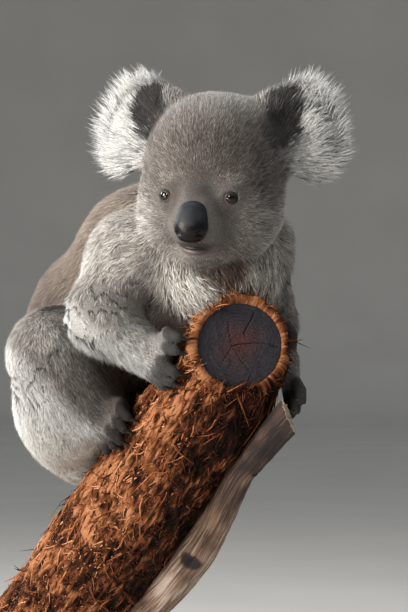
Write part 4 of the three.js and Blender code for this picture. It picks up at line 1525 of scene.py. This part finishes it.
def build_fibres():
    """Torn strips and longer hanging threads all over the log's bark."""
    finish = torn_fibre()
    tree = fibre_tree(finish)
    sides, rows = 128, 170
    angle = np.linspace(0, 2 * math.pi, sides, endpoint=False)
    points = []
    for number, along in enumerate(-3.0 + (LOG["length"] - 2.0) * np.linspace(0, 1, rows) ** 1.1):
        down = np.full(sides, max(along, -1.5))
        ridges, texture = bark_height(angle, down, LOG["top"])
        sunk = (6, 2.5, 1, 0)[min(number, 3)]
        out = log_radius(along) + (ridges + texture * 0.9) * min(1, number / 3) - sunk
        points.append(log_ring(out, angle, along, down))
    points = place(np.concatenate(points), "perch") * MM
    quads = bands(rows, sides, other_way=True)
    grain = np.tile(HOMES["perch"][1] @ np.array([0.0, 1.0, 0.0]), (len(points), 1))
    # On the frayed rim the strips stick out past the sawn end.
    out_from_middle = np.stack([np.sin(angle) * 0.8, np.full(sides, -0.5), np.cos(angle) * 0.8], axis=1)
    grain[:3 * sides] = np.tile(out_from_middle @ HOMES["perch"][1].T, (3, 1))
    layers = {
        "bark_strips": {"Strip length": 0.014, "Strip width": 0.0009, "Strips per square metre": 56000.0,
                        "Stray turn": 0.7, "Lift": 0.32, "Curl": 0.4},
        "bark_rim_fringe": {"Strip length": 0.0065, "Strip width": 0.0005,
                            "Strips per square metre": 850000.0, "Stray turn": 1.5, "Lift": 0.35,
                            "Curl": 0.4},
        "bark_threads": {"Strip length": 0.026, "Strip width": 0.0006, "Strips per square metre": 5000.0,
                         "Stray turn": 0.9, "Lift": 0.3, "Curl": 0.5},
    }
    for name, sizes in layers.items():
        mesh = bpy.data.meshes.new(name + "_host")
        mesh.from_pydata(points.tolist(), [], (quads[:4 * sides] if "rim" in name else quads).tolist())
        mesh.attributes.new("grain", "FLOAT_VECTOR", "POINT").data.foreach_set("vector", grain.ravel())
        # Painted shade: the strips learn how far they lie on the log's shaded lower side.
        store_values(mesh, "damp", np.tile(shaded_side(angle), rows))
        host = bpy.data.objects.new(name + "_host", mesh)
        bpy.context.scene.collection.objects.link(host)
        nodes = host.modifiers.new("strips", "NODES")
        nodes.node_group = tree
        for item in tree.interface.items_tree:
            if item.name in sizes:
                nodes[item.identifier] = sizes[item.name]
        host.update_tag()
        seen = bpy.context.evaluated_depsgraph_get()
        made = bpy.data.meshes.new_from_object(host.evaluated_get(seen))
        made.name = name
        host.modifiers.clear()
        bpy.data.objects.remove(host)
        piece = bpy.data.objects.new(name, made)
        bpy.context.scene.collection.objects.link(piece)
        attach(piece, "root")
        spots = np.empty(len(made.vertices) * 3, np.float32)
        made.vertices.foreach_get("co", spots)
        own = within(spots.reshape(-1, 3) / MM, "perch")
        each = 9
        middle = own.reshape(-1, each, 3).mean(axis=1).repeat(each, axis=0)
        offset = (own - middle)[:, [0, 1]] / 40 * 0.0015
        around = np.arctan2(middle[:, 0], middle[:, 2]) / (2 * math.pi) + 0.5
        uv = np.stack([around, middle[:, 1] / 660 + 0.04], axis=1)
        store_map(piece, "OFBake", np.clip(uv + np.clip(offset, -0.0015, 0.0015), 0, 1))


def sawn_heartwood():
    """Old sawn hardwood: purple-brown, saw-fuzzed, with rings about 3.4 mm apart and a redder heart."""
    made, tree, shader = material("sawn_heartwood")
    disc = add(tree, "ShaderNodeUVMap", uv_map="disc").outputs["UV"]
    away = add(tree, "ShaderNodeVectorMath", links={"Vector": disc}, operation="LENGTH").outputs["Value"]
    warp = add(tree, "ShaderNodeTexNoise", {"Scale": 45.0, "Detail": 3.0}, {"Vector": disc})
    fuzz = add(tree, "ShaderNodeTexNoise", {"Scale": 420.0, "Detail": 4.0, "Roughness": 0.7},
               {"Vector": disc})
    bent = add(tree, "ShaderNodeMath", {1: 0.006}, {0: warp}, operation="MULTIPLY")
    turns = add(tree, "ShaderNodeMath", {1: 2 * math.pi / 0.0034}, {0: sum_of(tree, away, bent)},
                operation="MULTIPLY")
    rings = add(tree, "ShaderNodeMath", links={0: turns}, operation="SINE")
    blotch = add(tree, "ShaderNodeTexNoise", {"Scale": 38.0, "Detail": 4.0}, {"Vector": disc})
    stir = add(tree, "ShaderNodeMath", {1: 0.036, 2: -0.018}, {0: blotch}, operation="MULTIPLY_ADD")
    base = ramp(tree, sum_of(tree, away, stir),
                [(0.0, "#4a2222"), (0.014, "#3c2426"), (0.024, "#2a242b"), (0.038, "#1f1e25")])
    shade = add(tree, "ShaderNodeMapRange",
                {"From Min": -1.0, "From Max": 1.0, "To Min": 0.8, "To Max": 1.12},
                {"Value": rings})
    grit = add(tree, "ShaderNodeMapRange",
               {"From Min": 0.3, "From Max": 0.7, "To Min": 0.55, "To Max": 1.35},
               {"Value": fuzz})
    both = add(tree, "ShaderNodeMath", links={0: shade, 1: grit}, operation="MULTIPLY")
    mixed = add(tree, "ShaderNodeVectorMath", links={0: base, "Scale": both}, operation="SCALE")
    dress(tree, shader, mixed, 0.85, bump=(fuzz, 0.7, 0.0008))
    return made


CRACKS = [
    ([[-7.6, 0.3], [4.9, 0.9], [20.8, -1.4], [35, -6.8]], 0.42),
    ([[5.6, 10.5], [12, 18.5], [19.5, 28]], 0.4),
    ([[-7.6, 0.3], [-12, -5], [-19.4, -13]], 0.16),
    ([[-7.6, 0.3], [-8, 12], [-6.6, 23]], 0.14),
    ([[-7.6, 0.3], [-2, -12], [4, -24]], 0.12),
]


def build_disc():
    """The sawn end's heartwood, split by drying cracks."""
    rings, sides = 70, 180
    radius = LOG["heart"] * np.linspace(0, 1, rings + 1)[1:] ** 0.9
    angle = np.linspace(0, 2 * math.pi, sides, endpoint=False)
    x = np.concatenate([[0], (radius[:, None] * np.sin(angle)).ravel()])
    z = np.concatenate([[0], (radius[:, None] * np.cos(angle)).ravel()])
    flat = np.stack([x, z, np.zeros_like(x)], axis=1)
    depth = 0.35 * noise(flat, 5, 61) + 0.2 * noise(flat, 1.6, 62)
    depth += 0.14 * np.sin((z + 0.35 * x) * 2.1)
    wandering = flat + 0.5 * np.stack([noise(flat, 3, 63)] * 3, 1) * [1, 1, 0]
    for corners, wide in CRACKS:
        path = smooth_path([[*corner, 0] for corner in corners], 14)
        away = np.full(len(flat), 99.0)
        for a, b in zip(path[:-1], path[1:]):
            away = np.minimum(away, cone([*a, 0], [*b, 0])(wandering))
        depth += 2.6 * (1 - ease(away, wide * 0.5, wide * 1.4))
    y = depth + 0.2 - (SAW["across_x"] * x + SAW["across_z"] * z)
    bow_x, bow_z = bow_at(0.0)
    points = np.stack([x + bow_x, y, z + bow_z], axis=1)
    i = np.arange(sides)
    j = (i + 1) % sides
    quads = bands(rings, sides, 1, other_way=True)
    caps = np.stack([np.zeros(sides, int), 1 + i, 1 + j], 1)
    # A back wall makes the disc a closed plate, 8 mm thick.
    back = points[-sides:] + [0, 8, 0]
    first, rim = len(points), 1 + (rings - 1) * sides
    points = np.concatenate([points, back, [back.mean(axis=0)]])
    wall = np.stack([rim + i, first + i, first + j, rim + j], 1)
    close = np.stack([first + i, np.full(sides, len(points) - 1), first + j], 1)
    disc = mesh_piece("log_heartwood", place(points, "perch"),
                      outward(points, [np.concatenate([quads, wall]), np.concatenate([caps, close])]),
                      sawn_heartwood())
    uv = np.stack([points[:, 0], points[:, 2]], axis=1) * MM
    store_map(disc, "disc", uv)


def weathered_branch():
    """Barkless dead wood: silver-brown, checked along the grain about 2 mm apart."""
    made, tree, shader = material("weathered_branch")
    grain_map = add(tree, "ShaderNodeUVMap", uv_map="grain").outputs["UV"]
    tone = add(tree, "ShaderNodeAttribute", attribute_name="branch_tone").outputs["Fac"]
    grain = drawn_out(tree, grain_map, (500.0, 20.0), 5.0, Roughness=0.6, Distortion=0.8)
    cloud = drawn_out(tree, grain_map, (70.0, 16.0), 2.0)
    half = add(tree, "ShaderNodeMath", {1: 0.6}, {0: cloud}, operation="MULTIPLY")
    colour = ramp(tree, sum_of(tree, grain, half, tone),
                  [(0.4, "#130b07"), (0.62, "#3f2a20"), (0.84, "#7c6350"), (1.0, "#b3a293")])
    dress(tree, shader, colour, 0.8, bump=(grain, 0.8, 0.0012))
    return made


# Corners of the branch's middle line, each with its radius.
BRANCH = np.array([[39, 20, -67.5, 14], [40, 54, -64.5, 14], [41, 88, -62, 14], [39, 128, -61, 14.5],
                   [45, 208, -67, 16], [47, 275, -69, 18.5], [41, 360, -67, 21], [24, 460, -54, 22],
                   [16, 530, -42, 18]], float)
STUB_FACE = unit(np.array([0.93, -0.12, 0.3])) @ HOMES["perch"][1]  # the way the stub's broken end faces


def build_branch():
    """The dead branch under the log, with its broken stub end hollowed by rot."""
    rows, sides = 190, 72
    line = smooth_path(BRANCH, rows)
    path, radii = line[:, :3], line[:, 3]
    ways = unit(np.gradient(path, axis=0))
    side = unit(np.cross(ways[0], [0, 0.2, 1.0]))
    angle = np.linspace(0, 2 * math.pi, sides, endpoint=False)
    rings, uv, along, darks = [], [], 0.0, []
    knots = [(60, 1.2, 9), (112, 2.35, 12), (150, 5.0, 8)]
    for row in range(rows):
        way = ways[row]
        side = unit(side - way * (side @ way))
        up = np.cross(way, side)
        wound = np.stack([np.sin(angle) * 5, np.full(sides, along / 30), np.cos(angle) * 5], axis=1)
        rough = 1.3 * noise(wound, 1.6, 71) + 0.5 * noise(wound * [1, 1.5, 1], 0.45, 72)
        twist = 1.2 * np.sin(2 * angle + along / 38)
        dark = np.zeros(sides)
        for spot, turn, size in knots:
            gap = np.hypot((row - spot) * 2.9 / size, 14 * np.sin((angle - turn) / 2) * 2 / size)
            rough = rough + 3.2 * np.exp(-gap ** 2) - 5.5 * np.exp(-(gap * 1.9) ** 2)
            dark = dark + np.exp(-(gap * 1.4) ** 4)
        darks.append(dark)
        radius = radii[row] + rough + twist
        spoke = radius[:, None] * (np.cos(angle)[:, None] * side + np.sin(angle)[:, None] * up)
        slant = -(spoke @ STUB_FACE) / (way @ STUB_FACE) * math.exp(-along / 26)
        slant = slant + 1.6 * noise(np.stack([angle * 5] * 3, 1), 1.0, 73) * math.exp(-along / 6)
        rings.append(path[row] + spoke + slant[:, None] * way)
        uv.append(np.stack([angle * 16 * MM, np.full(sides, along * MM)], axis=1))
        along += np.linalg.norm(path[min(row + 1, rows - 1)] - path[row])
    # The stub: a rim, then a hollow that narrows inwards.
    hollow = []
    for share, deep in ((0.88, -0.4), (0.78, 0.8), (0.6, 2.4), (0.34, 3.2)):
        middle = rings[0].mean(axis=0)
        hollow.append(middle + (rings[0] - middle) * share + ways[0] * deep)
    points = np.concatenate([*hollow[::-1], *rings, [hollow[-1].mean(axis=0)], [rings[-1].mean(axis=0)]])
    faces = closed_bands(len(hollow) + rows, sides)
    branch = mesh_piece("dead_branch", place(points, "perch"), outward(points, faces), weathered_branch(),
                        ["perch_branch"])
    walk = np.linspace(0, along, rows)
    shade = -0.32 + 0.36 * ease(walk, 90, 330) + 0.05 * np.sin(walk / 9)
    shade = np.repeat(shade, sides) - 0.8 * np.concatenate(darks)
    tones = np.concatenate([np.full(len(hollow) * sides, 0.2), shade, [0.0, 0.0]])
    tones[len(hollow) * sides:(len(hollow) + 1) * sides] = 0.3
    store_values(branch.data, "branch_tone", tones)
    store_map(branch, "grain", np.concatenate([uv[0]] * len(hollow) + uv + [[[0, 0], [0, along * MM]]]))


# ------------------------------------------------------------------ stand
def painted_plate():
    """Warm white paint on a steel plate: an even satin coat with a faint sprayed texture."""
    made, tree, shader = material("sprayed_satin_paint")
    where = add(tree, "ShaderNodeTexCoord").outputs["Object"]
    orange_peel = add(tree, "ShaderNodeTexNoise", {"Scale": 500.0, "Detail": 1.0}, {"Vector": where})
    cloud = add(tree, "ShaderNodeTexNoise", {"Scale": 9.0, "Detail": 2.0}, {"Vector": where})
    colour = ramp(tree, cloud, [(0.3, "#d4d1cb"), (0.7, "#dedbd6")])
    dress(tree, shader, colour, 0.5, bump=(orange_peel, 0.08, 0.0002))
    return made


def brushed_steel():
    """Stainless steel rod, brushed along its length with lines about 0.4 mm apart."""
    made, tree, shader = material("brushed_stainless_steel")
    where = add(tree, "ShaderNodeTexCoord").outputs["Object"]
    stretched = add(tree, "ShaderNodeMapping", {"Scale": (1.0, 1.0, 0.03)}, {"Vector": where})
    lines = add(tree, "ShaderNodeTexNoise", {"Scale": 2600.0, "Detail": 2.0}, {"Vector": stretched})
    colour = ramp(tree, lines, [(0.3, "#a9abad"), (0.7, "#c4c6c8")])
    rough = add(tree, "ShaderNodeMapRange", {"To Min": 0.28, "To Max": 0.42}, {"Value": lines})
    dress(tree, shader, colour, rough)
    shader.inputs["Metallic"].default_value = 1.0
    return made


def build_stand():
    """A plain round-cornered plate and two upright rods."""
    satin, steel = painted_plate(), brushed_steel()
    corner, thick, bevel = STAND["corner"], STAND["thick"], STAND["bevel"]
    quarter = np.linspace(0, math.pi / 2, 16)
    turns = np.linspace(0, math.pi / 2, 5)
    section = [(bevel * (1 - math.sin(a)), bevel * (1 - math.cos(a))) for a in turns]
    section += [(bevel * (1 - math.cos(a)), thick - bevel * (1 - math.sin(a))) for a in turns]
    rings = []
    for inset, height in section:
        reach = corner - inset
        rings.append([[sx * (STAND["half_x"] - corner) + reach * math.cos(a),
                       sy * (STAND["half_y"] - corner) + reach * math.sin(a), height]
                      for sx, sy, start in ((1, -1, -math.pi / 2), (1, 1, 0), (-1, 1, math.pi / 2),
                                            (-1, -1, math.pi)) for a in quarter + start])
    points = np.concatenate([*rings, [[0, 0, 0]], [[0, 0, thick]]])
    faces = closed_bands(len(rings), len(rings[0]))
    plate = mesh_piece("stand_plate", points, outward(points, faces), satin, ["stand_base"])
    flatten(plate)
    for number, along in enumerate(STAND["rods_at"]):
        x, y, z = place([on_log([0, along, 0])], "perch")[0]
        path = np.array([[x, y, thick], [x, y, thick + 0.8], [x, y, thick + 1.2], [x, y, z - 22],
                         [x, y, z - 20]])
        points, faces = tube(path, [7.4, 7.9, 8.0, 8.0, 7.8], 48)
        rod = mesh_piece(f"stand_rod_{number + 1}_steel", points, outward(points, faces), steel,
                         [f"stand_rod_{number + 1}"])
        flatten(rod)


def flatten(piece, degrees=32):
    """Shades a piece smooth, except across edges sharper than that."""
    mesh = piece.data
    with bpy.context.temp_override(object=piece, active_object=piece, selected_objects=[piece],
                                   selected_editable_objects=[piece]):
        bpy.ops.object.shade_smooth_by_angle(angle=math.radians(degrees))
    mesh.update()


# ------------------------------------------------------------------ room
FLOOR_RADIUS, SWEEP_RADIUS, WALL_HEIGHT = 8.4, 1.6, 5.5  # metres
LAMPS_AIM = (0.05, -0.1, 0.45)
LAMPS = [  # name, place in metres, watts, diameter in metres, colour
    ("key_left", (-2.6, -1.3, 1.3), 112, 1.2, "#fffaf4"),
    ("rim_left", (-1.7, 1.3, 1.4), 26, 0.8, "#ffffff"),
    ("front", (-0.9, -2.4, 1.7), 22, 0.5, "#fffdf8"),
    ("low_left", (-1.7, -1.7, 0.12), 24, 1.0, "#fff6ec"),
    ("rim_right", (1.5, 1.3, 1.7), 10, 0.8, "#ffffff"),
    ("top", (0.0, 0.6, 2.5), 14, 1.0, "#ffffff"),
]
CAMERA = {"at": (0.0785, -2.695, 0.4863), "lens": 158.1, "sensor": 36.0, "near": 0.1, "far": 20}


def put_in_room(name, data):
    """A new object of the scene that holds this data."""
    holder = bpy.data.objects.new(name, data)
    bpy.context.scene.collection.objects.link(holder)
    return holder


def build_sweep():
    """A pale floor that sweeps up into a plain backdrop all round."""
    made, tree, shader = material("matt_studio_paper")
    where = add(tree, "ShaderNodeTexCoord").outputs["Object"]
    tooth = add(tree, "ShaderNodeTexNoise", {"Scale": 3.0, "Detail": 2.0}, {"Vector": where})
    dress(tree, shader, ramp(tree, tooth, [(0.3, "#bdbbb7"), (0.7, "#c3c1bd")]), 0.95)
    around = 96
    profile = [(FLOOR_RADIUS, 0.0)]
    profile += [(FLOOR_RADIUS + SWEEP_RADIUS * math.sin(a), SWEEP_RADIUS - SWEEP_RADIUS * math.cos(a))
                for a in np.linspace(0.1, math.pi / 2, 12)]
    profile.append((FLOOR_RADIUS + SWEEP_RADIUS, WALL_HEIGHT))
    turns = np.linspace(0, 2 * math.pi, around, endpoint=False)
    points = [[0, 0, 0]] + [[r * math.cos(a), r * math.sin(a), z] for r, z in profile for a in turns]
    faces = [[0, 1 + k, 1 + (k + 1) % around] for k in range(around)]
    faces += bands(len(profile), around, 1, other_way=True).tolist()
    mesh = bpy.data.meshes.new("studio_sweep")
    mesh.from_pydata(points, [], faces)
    mesh.polygons.foreach_set("use_smooth", [True] * len(faces))
    mesh.materials.append(made)
    put_in_room("studio_sweep", mesh)


def build_room():
    """The floor and backdrop, soft lamps and the camera."""
    build_sweep()
    for name, at, power, size, colour in LAMPS:
        light = bpy.data.lights.new(name, "AREA")
        light.shape, light.size, light.energy, light.color = "DISK", size, power, linear(colour)
        holder = put_in_room(name, light)
        holder.location = at
        aim = np.array(LAMPS_AIM) - np.array(at)
        tilt = math.atan2(math.hypot(aim[0], aim[1]), -aim[2])
        holder.rotation_euler = (tilt, 0, math.atan2(aim[0], -aim[1]) + math.pi)
    world = bpy.data.worlds.new("soft_room")
    bpy.context.scene.world = world
    world.use_nodes = True
    world.node_tree.nodes["Background"].inputs["Color"].default_value = rgba("#dfe3e6")
    world.node_tree.nodes["Background"].inputs["Strength"].default_value = 0.5

    camera = bpy.data.cameras.new("camera")
    camera.lens, camera.sensor_width = CAMERA["lens"], CAMERA["sensor"]
    camera.clip_start, camera.clip_end = CAMERA["near"], CAMERA["far"]
    holder = put_in_room("camera", camera)
    holder.location = CAMERA["at"]
    holder.rotation_euler = (math.pi / 2, 0, 0)
    bpy.context.scene.camera = holder
    bpy.context.scene.view_settings.view_transform = "Standard"


# ------------------------------------------------------------------ putting it together
SKIN_STEP = 2.9  # millimetres between the corners of the skin's mesh
# The skin is painted darker than the coat: painted shade deep under the wool.
SKIN_SHADED_BRIGHTNESS = 0.5  # against the coat over it


def build_animal():
    """The skin as one piece, and the coat on it."""
    values, low = body_grid(SKIN_STEP)
    eye_sockets(values, low, SKIN_STEP)
    points, faces = shell_of(values, low, SKIN_STEP)
    points = smoothed(points, faces, 2)
    normals = corner_normals(points, faces)
    colours = markings(points, normals, shares(points))
    skin = mesh_piece("skin", points, faces, skin_under_wool(), [form.name for form in FORMS])
    # Painted shade: the skin darker than the coat over it.
    paint(skin, colours * SKIN_SHADED_BRIGHTNESS)
    coat_pieces(points, faces, normals, coat_wool())


for build in (build_room, build_log, build_fibres, build_disc, build_branch, build_stand, build_nose,
              build_eyes, build_mouth, build_claws, build_animal):
    build()
